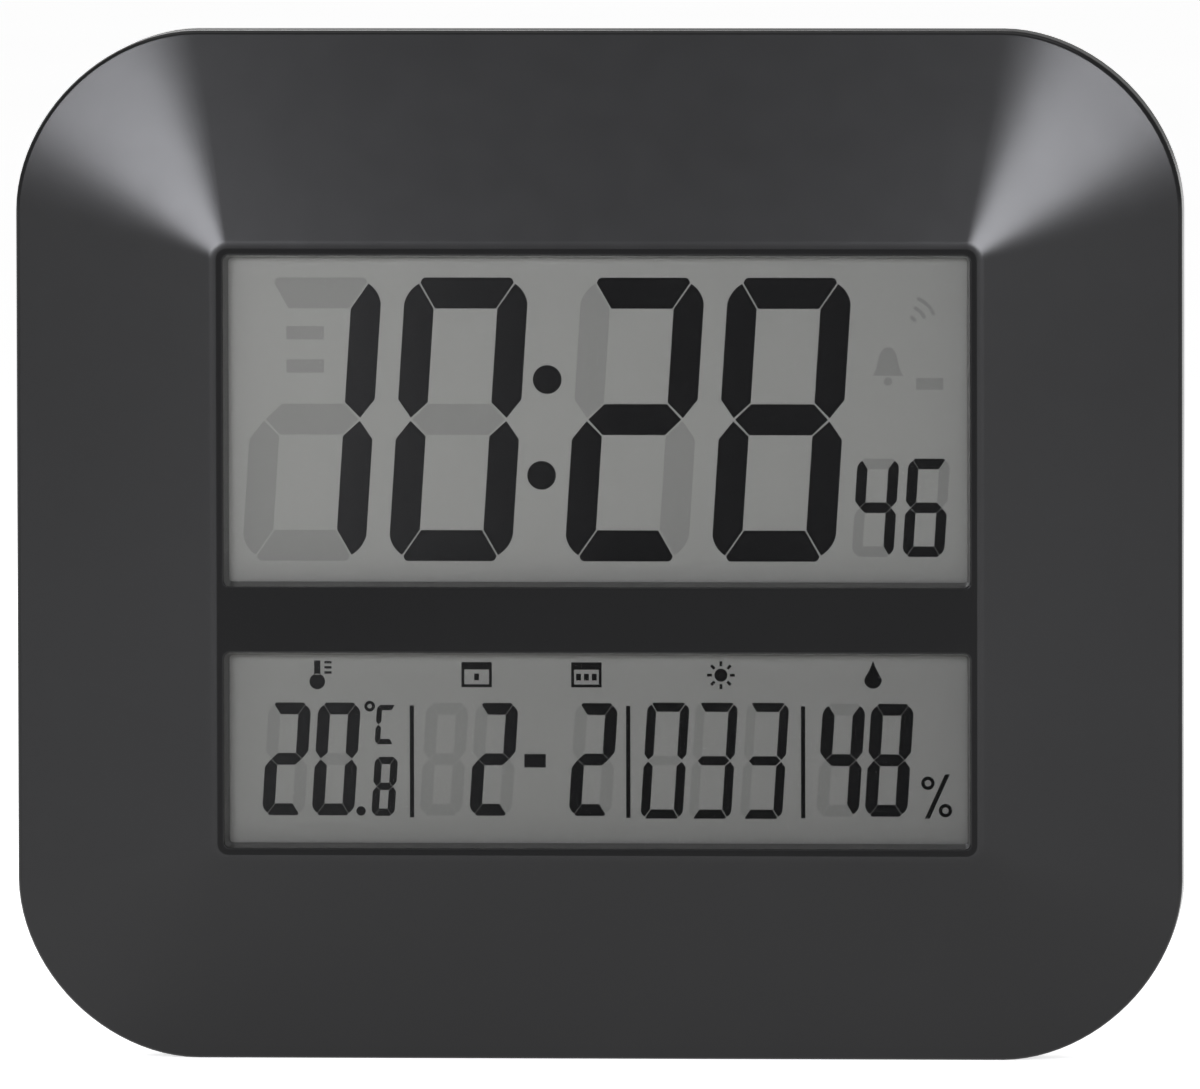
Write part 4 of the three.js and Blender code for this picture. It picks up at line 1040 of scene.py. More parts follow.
@dataclass
class Bay:
    """The battery bay's sizes and its door, cells and springs."""

    cell_radius: float = 7.25 * MM
    cell_play: float = 0.4 * MM
    cell_bevel: float = 0.9 * MM
    terminal_radius: float = 2.7 * MM
    terminal_height: float = 1.2 * MM
    door_thickness: float = 2 * MM
    door_gap: float = 0.3 * MM
    door_radius: float = 1 * MM
    ledge: float = 3.6 * MM
    hook_spacing: float = 32 * MM
    hook_width: float = 8 * MM
    hook_depth: float = 2.2 * MM
    hook_reach: float = 2.3 * MM
    latch_width: float = 14 * MM
    latch_slot: float = 0.8 * MM
    latch_length: float = 9 * MM
    notch_radius: float = 8 * MM
    notch_depth: float = 1.4 * MM
    grip_length: float = 12 * MM
    grip_drop: float = 12 * MM
    grip_pitch: float = 2 * MM
    grip_width: float = 0.8 * MM
    grip_depth: float = 0.4 * MM
    grips: int = 4
    wall: float = 1.6 * MM
    wire: float = 0.4 * MM
    spring_turns: int = 3
    spring_foot: float = 4 * MM
    spring_tip: float = 2.4 * MM
    plate: float = 5.3 * MM  # from the middle of a contact's slot to its edge
    plate_slot: float = 1.2 * MM
    tab: float = 1.5 * MM  # from the middle of a solder tab's slot to its edge

    def __post_init__(self) -> None:
        """Reads the places of the cells and the door from the frame."""
        door_low, door_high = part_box("battery_door")
        self.back_y = door_high.y
        self.door_y = self.back_y - self.door_thickness
        self.half = door_high.x + self.door_gap
        self.high = door_high.z + self.door_gap
        self.low = door_low.z + self.hook_reach
        self.ledge_y = self.door_y - self.door_gap
        self.cells = [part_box(f"battery_cell_{i}") for i in (1, 2)]
        low, high = self.cells[0]
        self.cell_y = (low.y + high.y) / 2
        self.cell_heights = [(low.z + high.z) / 2 for low, high in self.cells]
        self.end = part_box("positive_contact")[0].x + self.plate_slot

    def door(self) -> Object:
        """Models the door with its latch tongue, finger grooves and hooks."""
        gap = self.door_gap
        low, high = self.low + gap, self.high - gap
        outline = Outline(2 * (self.half - gap), high - low, 0, (low + high) / 2, self.door_radius)
        door = slab("clock_battery_door", outline, self.door_y, self.back_y)
        hook_low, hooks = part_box("battery_door")[0], []
        for side in (-1, 1):
            x, half = side * self.hook_spacing / 2, self.hook_width / 2
            top = self.ledge_y - 0.4 * MM
            hooks.append(brick(
                "web", (x - half, hook_low.y, low), (x + half, self.door_y + 0.5 * MM, low + self.hook_depth)
            ))
            hooks.append(brick(
                "hook", (x - half, hook_low.y, hook_low.z), (x + half, top, low + self.hook_depth)
            ))
        combine(door, hooks, Blend.JOIN)
        cutters = []
        for side in (-1, 1):
            x = side * (self.latch_width + self.latch_slot) / 2
            slit = Outline(
                self.latch_slot, self.latch_length + PAST, x, high - (self.latch_length - PAST) / 2, 0.38 * MM
            )
            cutters.append(slab("slit", slit, self.door_y - PAST, self.back_y + PAST))
        for i in range(self.grips):
            z = high - self.grip_drop - i * self.grip_pitch - self.grip_width / 2
            groove = Outline(self.grip_length, self.grip_width, 0, z, 0.38 * MM)
            cutters.append(slab("groove", groove, self.back_y - self.grip_depth, self.back_y + PAST))
        combine(door, cutters, Blend.CUT)
        back = at_depth(self.back_y)
        soften(door, lambda edge: back(edge) and is_sharp(edge) and in_rim(edge, outline), 0.3 * MM, 3)
        return smooth(door)

    def cell(self) -> Object:
        """Models the upper cell: rounded ends, a crimped groove under the terminal and the terminal."""
        low, high = self.cells[0]
        length, radius, bevel = high.x - low.x, self.cell_radius, self.cell_bevel
        shoulder = length - self.terminal_height
        profile = [(radius - 2.4 * bevel, 0.3 * MM), (radius - 1.7 * bevel, 0)]
        profile += [
            (radius - bevel + bevel * math.sin(angle), bevel * (1 - math.cos(angle)))
            for angle in quarter(5)[1:]
        ]
        profile += [
            (radius - bevel + bevel * math.cos(angle), shoulder - bevel * (1 - math.sin(angle)))
            for angle in quarter(5)[:-1]
        ]
        tip = self.terminal_radius
        profile += [
            (tip + 1.4 * MM, shoulder), (tip + 1.0 * MM, shoulder - 0.3 * MM),
            (tip, shoulder - 0.3 * MM), (tip, length - 0.35 * MM), (tip - 0.35 * MM, length),
        ]
        cell = turned("clock_cell_1", profile, sides=48)
        cell.rotation_euler = (0, 0, -math.pi / 2)
        cell.location = (low.x, self.cell_y, self.cell_heights[0])
        return smooth(settle(cell, "clock_cell_1"), 50)

    def second_cell(self, first: Object) -> Object:
        """A copy of the first cell, turned round and set below it."""
        cell = twin(first, "clock_cell_2")
        cell.rotation_euler = (0, 0, math.pi)
        cell.location = (0, 2 * self.cell_y, self.cell_heights[1] - self.cell_heights[0])
        return settle(cell, "clock_cell_2")

    def spring(self, number: int, steps: int = 28) -> Object:
        """Winds one conical spring.

        Args:
            number: 1 for the upper one, 2 for the lower one.
            steps: Points in a turn.

        Returns:
            The finished mesh.
        """
        low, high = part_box(f"battery_spring_{number}")
        side = 1 if number == 1 else -1
        foot = low.x if side == 1 else high.x
        rise = high.x - low.x - 2 * self.wire
        curve = bpy.data.curves.new("spring", "CURVE")
        curve.dimensions, curve.bevel_depth, curve.bevel_resolution = "3D", self.wire * 0.98, 3
        curve.use_fill_caps = True
        spline = curve.splines.new("POLY")
        count = steps * self.spring_turns
        spline.points.add(count)
        for i, point in enumerate(spline.points):
            share = i / count
            angle = 2 * math.pi * self.spring_turns * share
            radius = self.spring_foot + (self.spring_tip - self.spring_foot) * share
            point.co = (
                foot + side * (self.wire + rise * share), self.cell_y + radius * math.cos(angle),
                self.cell_heights[number - 1] + radius * math.sin(angle), 1,
            )
        piece = bpy.data.objects.new("spring", curve)
        bpy.context.collection.objects.link(piece)
        take(piece)
        bpy.ops.object.convert(target="MESH")
        return smooth(settle(bpy.context.object, f"clock_spring_{number}"), 60)


def in_rim(edge: bmesh.types.BMEdge, outline: Outline) -> bool:
    """Whether an edge lies on the outside of an outline."""
    half_width, half_height = outline.width / 2 - outline.reach, outline.height / 2 - outline.reach
    return all(
        abs(vert.co.x - outline.x) > half_width - NEAR or abs(vert.co.z - outline.z) > half_height - NEAR
        for vert in edge.verts
    )


@dataclass
class Keys:
    """The column of five rubber keys and the channel that they stand in."""

    names: tuple[str, ...] = ("set", "up", "down", "alarm", "unit")
    play: float = 0.3 * MM
    flange: float = 1 * MM
    radius: float = 1.6 * MM
    crown: float = 0.7 * MM
    channel_depth: float = 1.5 * MM
    channel_margin: float = 2.4 * MM
    sign_height: float = 0.25 * MM
    sign_radius: float = 1.35 * MM

    def __post_init__(self) -> None:
        """Reads the keys' places from the frame."""
        self.heights = {name: centre(f"button_{name}")[1] for name in self.names}
        self.x = centre("button_set")[0]
        low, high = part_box("button_set")
        self.foot_y, self.top_y = low.y, high.y
        self.width = high.x - low.x - 2 * self.flange
        self.height = high.z - low.z - 2 * self.flange
        self.middle = (self.heights["set"] + self.heights["unit"]) / 2
        span = self.heights["set"] - self.heights["unit"]
        self.channel_height = span + self.height + 2 * self.channel_margin

    def outline(self, z: float, grow: float = 0.0) -> Outline:
        """The outline of a key's cap at a height."""
        reach = self.radius + max(grow, -self.radius / 2)
        return Outline(self.width + 2 * grow, self.height + 2 * grow, self.x, z, reach)

    def channel(self, grow: float = 0.0) -> Outline:
        """The outline of the channel."""
        return Outline(
            self.width + 2 * self.channel_margin + 2 * grow, self.channel_height + 2 * grow, self.x,
            self.middle, self.radius + self.channel_margin + grow,
        )

    def cap(self, z: float) -> Object:
        """Models a key: its flange, and a cap with a rounded crown."""
        flange_y = self.foot_y + self.flange
        top = self.top_y - self.sign_height
        rings = [
            (self.outline(z, self.flange), self.foot_y), (self.outline(z, self.flange), flange_y - 0.1 * MM),
            (self.outline(z), flange_y), (self.outline(z), top - self.crown),
        ]
        rings += [
            (self.outline(z, -self.crown * (1 - math.cos(angle))), top - self.crown * (1 - math.sin(angle)))
            for angle in quarter(5)[1:]
        ]
        return loft("key", rings)

    def sign(self, name: str) -> Object:
        """The raised sign on a key: an arrow for up and down, a bar, ring or dot on the others."""
        z, radius = self.heights[name], self.sign_radius
        front, back = self.top_y - 2 * self.sign_height, self.top_y
        if name in ("up", "down"):
            arrow = rod("sign", 1.25 * radius, front, back, self.x, z, 3)
            if name == "down":
                arrow.rotation_euler = (0, math.pi, 0)
                arrow.location = (2 * self.x, 0, 2 * z)
            return settle(arrow, "sign")
        if name == "set":
            return slab("sign", Outline(2 * radius, 0.7 * radius, self.x, z, 0.3 * radius), front, back)
        piece = rod("sign", radius, front, back, self.x, z)
        if name == "alarm":
            combine(piece, [rod("sign", radius * 0.6, front - PAST, back + PAST, self.x, z)], Blend.CUT)
        return piece

    def build(self) -> dict[str, Object]:
        """Models the keys.

        Returns:
            The finished caps by name.
        """
        first = self.cap(self.heights["set"])
        keys = {}
        for name in self.names:
            key = twin(first, f"clock_key_{name}", (0, 0, self.heights[name] - self.heights["set"]))
            keys[name] = smooth(key)
        bpy.data.objects.remove(first)
        return keys


@dataclass
class Screw:
    """A pan-head screw with a cross recess, its head towards the back."""

    radius: float = 1.3 * MM
    head_radius: float = 2.8 * MM
    head_height: float = 2 * MM
    pitch: float = 1.1 * MM
    cross: float = 0.75 * MM  # width of the recess
    cross_reach: float = 1.55 * MM
    cross_depth: float = 1.1 * MM

    def build(self, name: str, node: str) -> Object:
        """Models the screw.

        Args:
            name: Name of the piece.
            node: The CAD screw that gives its place.

        Returns:
            The finished mesh.
        """
        low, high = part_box(node)
        x, z = centre(node)
        crown, seat = high.y, high.y - self.head_height
        core = self.radius * 0.72
        profile = [(self.radius * 0.15, low.y), (core * 0.8, low.y + self.radius)]
        y = low.y + 1.4 * self.radius
        while y < seat - 1.2 * self.pitch:
            profile += [(core, y), (self.radius, y + 0.42 * self.pitch), (core, y + 0.84 * self.pitch)]
            y += self.pitch
        profile += [(self.radius * 0.9, seat - 0.15 * MM), (self.head_radius * 0.96, seat)]
        skirt = 0.12 * MM
        profile += [(
            self.head_radius * (0.45 + 0.55 * math.cos(angle)),
            seat + skirt + (self.head_height - skirt) * math.sin(angle),
        ) for angle in quarter(7)[:-1]]
        profile.append((self.head_radius * 0.4, crown))
        screw = turned(name, profile, x, z)
        reach, depth, half = self.cross_reach, self.cross_depth, self.cross / 2
        cross = [
            brick("slot", (x - a, crown - depth, z - b), (x + a, crown + PAST, z + b))
            for a, b in ((reach, half), (half, reach))
        ]
        for slot in cross:
            with editing(slot):
                pick(slot, Part.POINT, lambda vert: vert.co.y < crown)
                bpy.ops.transform.resize(value=(0.55, 1, 0.55), center_override=(x, crown - depth, z))
        combine(screw, cross, Blend.CUT)
        return smooth(screw, 40)


class Rounding(Enum):
    """How far the edges of an inner piece are rounded, in metres."""

    NONE = 0.0
    FINE = 0.12 * MM
    PLAIN = 0.2 * MM
    SOFT = 0.4 * MM


@dataclass(frozen=True)
class Inner:
    """An inner piece that keeps its solid's shape: its nodes, finish, slot and rounding."""

    nodes: tuple[str, ...]
    finish: str
    slot: str
    rounding: Rounding = Rounding.PLAIN


INNER_PIECES = (
    Inner(("display_holder",), "holder", "holder"),
    Inner(("zebra_strip",), "zebra", "zebra"),
    Inner(("main_board", "key_board"), "board", "board", Rounding.FINE),
    Inner(("controller_chip",), "resin", "black_resin", Rounding.NONE),
    Inner(("capacitor_1", "capacitor_2", "alarm_buzzer"), "resin", "black_resin", Rounding.SOFT),
    Inner(("temperature_sensor",), "resin", "black_resin", Rounding.NONE),
    Inner(tuple(f"switch_{name}" for name in Keys.names), "resin", "black_resin"),
    Inner(("quartz_crystal",), "steel", "steel", Rounding.SOFT),
    Inner(("humidity_sensor",), "sensor", "sensor", Rounding.SOFT),
    Inner(("bridge_contact", "positive_contact", "negative_contact"), "steel", "steel", Rounding.FINE),
    Inner(("battery_wire_red",), "red_wire", "red_wire", Rounding.NONE),
    Inner(("battery_wire_black",), "black_wire", "black_wire", Rounding.NONE),
    Inner(("key_ribbon",), "ribbon", "ribbon", Rounding.NONE),
)
SHEETS = {
    "display_lens": "lens", "front_polariser": "film", "lcd_front_glass": "glass",
    "lcd_rear_glass": "glass", "rear_reflector": "reflector",
}


def frame_node(name: str) -> Object:
    """The CAD node of this name."""
    return next(piece for piece in bpy.data.objects if piece.get("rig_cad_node") == name)


def eased(node: str, rounding: Rounding, angle: float = 35) -> Object:
    """A copy of a CAD solid, its points merged and its clear edges rounded.

    Args:
        node: Name of the CAD node.
        rounding: How far the edges are rounded.
        angle: Degrees between faces from which an edge counts as clear.

    Returns:
        The finished mesh.
    """
    piece = twin(frame_node(node), f"clock_{node}")
    for key in list(piece.keys()):
        del piece[key]
    with editing(piece):
        bpy.ops.mesh.select_all(action="SELECT")
        bpy.ops.mesh.remove_doubles(threshold=NEAR / 10)
        bpy.ops.mesh.dissolve_limited(angle_limit=math.radians(0.5))
    if rounding.value:
        soften(
            piece, lambda edge: edge.is_manifold and edge.calc_face_angle(0) > math.radians(angle),
            rounding.value, 2,
        )
    return smooth(piece, angle)


@dataclass
class Cover:
    """The rear moulding with the battery bay, the stand's recess, the key channel and the keyhole."""

    case: Case
    stand: Stand
    bay: Bay
    keys: Keys
    wall: float = 2.2 * MM
    inset: float = 1.2 * MM
    shoulder: float = 2 * MM
    back_inset: float = 12 * MM
    edge_steps: int = 12
    lip_inset: float = 2.7 * MM
    lip_thickness: float = 1.2 * MM
    lip_depth: float = 2.2 * MM
    head_bore: float = 3.3 * MM
    bore_wall: float = 1.6 * MM
    seat_depth: float = 2.2 * MM  # of the screws' seats behind the front of the cover
    shank_bore: float = 1.5 * MM
    recess_depth: float = 6.4 * MM
    recess_gap: float = 0.5 * MM
    finger_radius: float = 9 * MM
    hinge_block: float = 4.5 * MM
    keyhole_drop: float = 26 * MM
    keyhole_radius: float = 4.6 * MM
    keyhole_slot: float = 2.3 * MM
    keyhole_rise: float = 8 * MM
    keyhole_pocket: float = 4.5 * MM
    vent_pitch: float = 4.2 * MM
    vent_width: float = 1.6 * MM
    vent_count: int = 7
    vent_length: float = 20 * MM
    grille_count: int = 5
    grille_length: float = 12 * MM
    rounding: float = 0.35 * MM
    gap: float = 0.3 * MM  # round the door's hooks and the stand's pins
    key_boss: float = 2.8 * MM
    key_bore: float = 1.2 * MM
    pocket_wall: float = 1.5 * MM
    pocket_margin: float = 2 * MM  # from the keyhole to the side of its pocket

    def __post_init__(self) -> None:
        """Reads the depths from the case."""
        self.front_y, self.back_y = self.case.cover_front_y, self.case.back_y
        self.skin_y = self.back_y - self.wall

    def rings(self, wall: float) -> list[tuple[Outline, float]]:
        """The outlines of the outside, or with a wall those of the inside."""
        depth = self.back_y - self.front_y - self.shoulder
        rings = [(self.case.outline(self.inset + wall), self.front_y - (PAST if wall else 0))]
        for i in range(self.edge_steps + 1):
            angle = math.pi / 2 * (1 - i / self.edge_steps)
            inset = self.back_inset + (self.inset - self.back_inset) * math.sin(angle)
            rings.append((
                self.case.outline(inset + wall), self.back_y - wall - depth * (1 - math.cos(angle))
            ))
        return rings

    def slots(self, x: float, z: float, count: int, length: float) -> list[Object]:
        """A row of upright slots with round ends about one place."""
        return [
            slab("slot", Outline(
                self.vent_width, length, x + (i - (count - 1) / 2) * self.vent_pitch, z,
                self.vent_width * 0.48, steps=5,
            ), self.skin_y - PAST, self.back_y + PAST)
            for i in range(count)
        ]

    def build_bay(self) -> tuple[list[Object], list[Object]]:
        """The bay's walls, and what is cut out of them.

        Returns:
            The solids to join and the solids to cut.
        """
        bay, wall, plate, slot = self.bay, self.bay.wall, self.bay.plate, self.bay.plate_slot
        middle = (bay.low + bay.high) / 2
        half_height = (bay.high - bay.low) / 2 - bay.ledge
        floor_y = bay.cell_y - bay.cell_radius - bay.cell_play
        added = [
            brick("tub", (-bay.end - wall, floor_y - wall, middle - half_height - wall),
                  (bay.end + wall, self.skin_y, middle + half_height + wall)),
            brick("tub_rim", (-bay.half - wall, bay.ledge_y - wall, bay.low - wall),
                  (bay.half + wall, self.skin_y, bay.high + wall)),
        ]
        opening = Outline(2 * bay.half, bay.high - bay.low, 0, middle, bay.door_radius)
        cuts = [
            slab("opening", opening, bay.ledge_y, self.back_y + PAST),
            brick("trough", (-bay.end, bay.cell_y, middle - half_height),
                  (bay.end, bay.ledge_y + PAST, middle + half_height)),
            rod("notch", bay.notch_radius, self.back_y - bay.notch_depth, self.back_y + PAST, 0,
                bay.high, 64),
        ]
        for side, z in zip((1, -1), bay.cell_heights):
            cuts.append(axle("cradle", bay.cell_radius + bay.cell_play, -bay.end, bay.end, bay.cell_y, z, 64))
            cuts.append(brick("contact_slot", (bay.end - slot, bay.cell_y - plate, z - plate),
                              (bay.end, bay.cell_y + PAST, z + plate)))
            x, half = side * bay.hook_spacing / 2, bay.hook_width / 2 + self.gap
            pocket_y = bay.ledge_y - bay.hook_depth - bay.hook_reach - PAST
            cuts.append(brick(
                "hook_pocket", (x - half, pocket_y, bay.low - bay.hook_reach - PAST),
                (x + half, self.skin_y, middle - half_height + 0.1 * MM),
            ))
        for name, z in zip(("positive_contact", "negative_contact"), bay.cell_heights):
            tab_y = bay.cell_y - bay.cell_radius / 2
            cuts.append(brick("tab_slot", (bay.end - PAST, tab_y - bay.tab, z - bay.tab),
                              (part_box(name)[1].x + self.gap, tab_y + bay.tab, z + bay.tab)))
        cuts.append(brick("bridge_slot", (-bay.end, bay.cell_y - plate, bay.cell_heights[1] - plate),
                          (-bay.end + slot, bay.cell_y + PAST, bay.cell_heights[0] + plate)))
        return added, cuts

    def build_recess(self) -> tuple[list[Object], list[Object]]:
        """The stand's recess: solids to join and solids to cut."""
        stand, wall = self.stand, self.wall
        floor_y = self.back_y - self.recess_depth
        top = stand.axis_z + stand.barrel + self.recess_gap
        half = stand.width / 2 + self.recess_gap
        shape = stand.shape.grown(self.recess_gap)
        added = [
            shape.grown(wall).make("recess_wall", floor_y - wall, self.skin_y),
            brick("recess_roof", (-half - wall, floor_y - wall, stand.axis_z - PAST),
                  (half + wall, self.skin_y, top + wall)),
            rod("finger_wall", self.finger_radius + wall, floor_y - wall, self.skin_y, 0, stand.low, 64),
        ]
        cuts = [
            shape.make("recess", floor_y, self.back_y + PAST),
            brick("recess_top", (-half, floor_y, stand.axis_z - PAST), (half, self.back_y + PAST, top)),
            rod("finger_notch", self.finger_radius, floor_y, self.back_y + PAST, 0, stand.low, 64),
        ]
        pin = stand.pin_end + self.gap
        cuts.append(axle("pin_hole", stand.pin_radius + self.gap, -pin, pin, stand.axis_y, stand.axis_z))
        for side in (-1, 1):
            inner, outer = sorted((side * half, side * (half + self.hinge_block)))
            added.append(brick("hinge_block", (inner, floor_y - wall, stand.axis_z - self.hinge_block),
                               (outer, self.skin_y, stand.axis_z + self.hinge_block)))
        return added, cuts

    def build_channel(self) -> tuple[list[Object], list[Object]]:
        """The keys' channel: solids to join and solids to cut."""
        keys = self.keys
        channel_y = self.back_y - keys.channel_depth
        added = [slab("channel_wall", keys.channel(self.wall), channel_y - self.wall, self.skin_y)]
        cuts = [slab("channel", keys.channel(), channel_y, self.back_y + PAST)]
        for z in keys.heights.values():
            hole = keys.outline(z, keys.play)
            cuts.append(slab("key_hole", hole, channel_y - self.wall - PAST, channel_y + PAST))
        board_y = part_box("key_board")[1].y
        for name in KEY_SCREWS:
            added.append(rod("key_boss", self.key_boss, board_y + 0.1 * MM, self.skin_y, *centre(name)))
            cuts.append(rod("key_bore", self.key_bore, board_y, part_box(name)[1].y + PAST, *centre(name)))
        return added, cuts

    def build_keyhole(self) -> tuple[list[Object], list[Object]]:
        """The keyhole for a wall hook: solids to join and solids to cut."""
        z, rise = self.case.high.z - self.keyhole_drop, self.keyhole_rise
        half, wall = self.keyhole_radius + self.pocket_margin, self.pocket_wall
        low, high = z - half, z + rise + self.keyhole_radius
        front, back = self.skin_y - self.keyhole_pocket, self.back_y + PAST
        added = [brick(
            "pocket_wall", (-half - wall, front - wall, low - wall), (half + wall, self.skin_y, high + wall)
        )]
        cuts = [
            brick("pocket", (-half, front, low), (half, self.skin_y, high)),
            rod("entry", self.keyhole_radius, self.skin_y - PAST, back, 0, z, 48),
            rod("slot_end", self.keyhole_slot, self.skin_y - PAST, back, 0, z + rise),
            brick("slot", (-self.keyhole_slot, self.skin_y - PAST, z), (self.keyhole_slot, back, z + rise)),
        ]
        return added, cuts

    def build(self) -> Object:
        """Models the cover.

        Returns:
            The finished mesh.
        """
        cover = loft("clock_cover", self.rings(0))
        combine(cover, [loft("hollow", self.rings(self.wall))], Blend.CUT)
        outside, inside = (
            self.case.outline(inset) for inset in (self.lip_inset, self.lip_inset + self.lip_thickness)
        )
        near, far = self.case.high.y - self.lip_depth, self.front_y + self.shoulder
        lip = slab("lip", outside, near, far)
        combine(lip, [slab("lip_hollow", inside, near - PAST, far + PAST)], Blend.CUT)
        added, cuts = [lip], []
        seat, boss = self.front_y + self.seat_depth, self.head_bore + self.bore_wall
        for name in HOUSING_SCREWS:
            x, z = centre(name)
            added.append(rod("boss", boss, self.front_y, self.skin_y + PAST, x, z, 48))
            cuts.append(rod("head_bore", self.head_bore, seat, self.back_y + PAST, x, z, 48))
            cuts.append(rod("shank_bore", self.shank_bore, self.front_y - PAST, seat + PAST, x, z))
        for more, fewer in (
            self.build_bay(), self.build_recess(), self.build_channel(), self.build_keyhole()
        ):
            added += more
            cuts += fewer
        for name, count, length in (
            ("humidity_sensor", self.vent_count, self.vent_length),
            ("alarm_buzzer", self.grille_count, self.grille_length),
        ):
            cuts += self.slots(*centre(name), count, length)
        combine(cover, added, Blend.JOIN)
        combine(cover, cuts, Blend.CUT)
        back = at_depth(self.back_y)
        soften(cover, lambda edge: back(edge) and is_sharp(edge), self.rounding, 3)
        return smooth(cover)


class Stroke(Enum):
    """The segments that each character lights, a at the top and then clockwise, g in the middle."""

    ZERO = "abcdef"
    ONE = "bc"
    TWO = "abdeg"
    THREE = "abcdg"
    FOUR = "bcfg"
    SIX = "acdefg"
    EIGHT = "abcdefg"
    UNIT_C = "adef"
    NONE = ""


def bend(start: Point, control: Point, end: Point, steps: int = 5) -> list[Point]:
    """Points on a curve between two places that is drawn towards a third."""
    return [
        tuple(
            (1 - t) ** 2 * a + 2 * t * (1 - t) * b + t ** 2 * c for a, b, c in zip(start, control, end)
        )
        for t in (i / steps for i in range(steps + 1))
    ]


@dataclass
class Drawing:
    """Flat shapes on the display, given in millimetres, in one curve that becomes a thin mesh."""

    name: str
    y: float
    thickness: float = 0.03 * MM

    def __post_init__(self) -> None:
        """Starts the curve."""
        self.curve = bpy.data.curves.new(self.name, "CURVE")
        self.curve.dimensions, self.curve.fill_mode = "2D", "BOTH"
        self.curve.extrude = self.thickness / 2

    def add(self, points: Sequence[Point]) -> None:
        """Adds one closed shape of points in X and Z."""
        spline = self.curve.splines.new("POLY")
        spline.points.add(len(points) - 1)
        for place, (x, z) in zip(spline.points, points):
            place.co = (x * MM, z * MM, 0, 1)
        spline.use_cyclic_u = True

    def disc(self, x: float, z: float, radius: float, sides: int = 40) -> None:
        """Adds a round dot."""
        self.add([
            (x + radius * math.cos(2 * math.pi * i / sides), z + radius * math.sin(2 * math.pi * i / sides))
            for i in range(sides)
        ])

    def ring(self, x: float, z: float, outer: float, inner: float) -> None:
        """Adds a round dot with a hole."""
        self.disc(x, z, outer)
        self.disc(x, z, inner)

    def bar(self, x: float, z: float, width: float, height: float) -> None:
        """Adds an upright rectangle about its middle."""
        self.add([
            (x - width / 2, z - height / 2), (x + width / 2, z - height / 2),
            (x + width / 2, z + height / 2), (x - width / 2, z + height / 2),
        ])

    def build(self) -> Object:
        """Makes the thin mesh, which lies on the plane y and in front of it."""
        piece = bpy.data.objects.new(self.name, self.curve)
        bpy.context.collection.objects.link(piece)
        piece.rotation_euler = (math.pi / 2, 0, 0)
        piece.location = (0, self.y - self.thickness / 2, 0)
        take(piece)
        bpy.ops.object.convert(target="MESH")
        return settle(bpy.context.object, self.name)


@dataclass(frozen=True)
class Digit:
    """A seven-segment character: its middle, size and stroke, in millimetres."""

    x: float
    z: float
    width: float
    height: float
    stroke: float  # of the upright segments
    level: float  # of the level segments
    gap: float
    slant: float = math.radians(3.72)

    def outlines(self) -> dict[str, list[Point]]:
        """The outlines of the seven segments, by letter."""
        w, m, s, t, g = self.width, self.height / 2, self.stroke, self.level, self.gap
        tip = 0.46 * s
        corner = bend((w - tip, m - 0.18 * s - g / 2), (w - 0.1 * s, m - 0.42 * s), (w, m - 0.85 * s))
        right = [
            *corner, (w, 0.62 * s + g), (w - tip, 1.1 * g), (w - s, t / 2 + g), (w - s, m - t - 0.2 * g),
        ]
        shoulder = bend((w - 0.66 * s, m), (w - 0.54 * s, m - 0.01 * s), (w - tip - g, m - 0.18 * s))
        top = [
            *[(w - a, b) for a, b in reversed(shoulder)], *shoulder, (w - s - g, m - t), (s + g, m - t),
        ]
        middle = [
            (tip + 1.1 * g, 0), (s + 0.4 * g, t / 2), (w - s - 0.4 * g, t / 2),
            (w - tip - 1.1 * g, 0), (w - s - 0.4 * g, -t / 2), (s + 0.4 * g, -t / 2),
        ]
        left = [(w - a, b) for a, b in right]
        shapes = {"a": top, "b": right, "f": left, "g": middle}
        for letter, shape in (("c", right), ("d", top), ("e", left)):
            shapes[letter] = [(a, -b) for a, b in shape]
        lean = math.tan(self.slant)
        return {
            letter: [(self.x - w / 2 + a + b * lean, self.z + b) for a, b in shape]
            for letter, shape in shapes.items()
        }


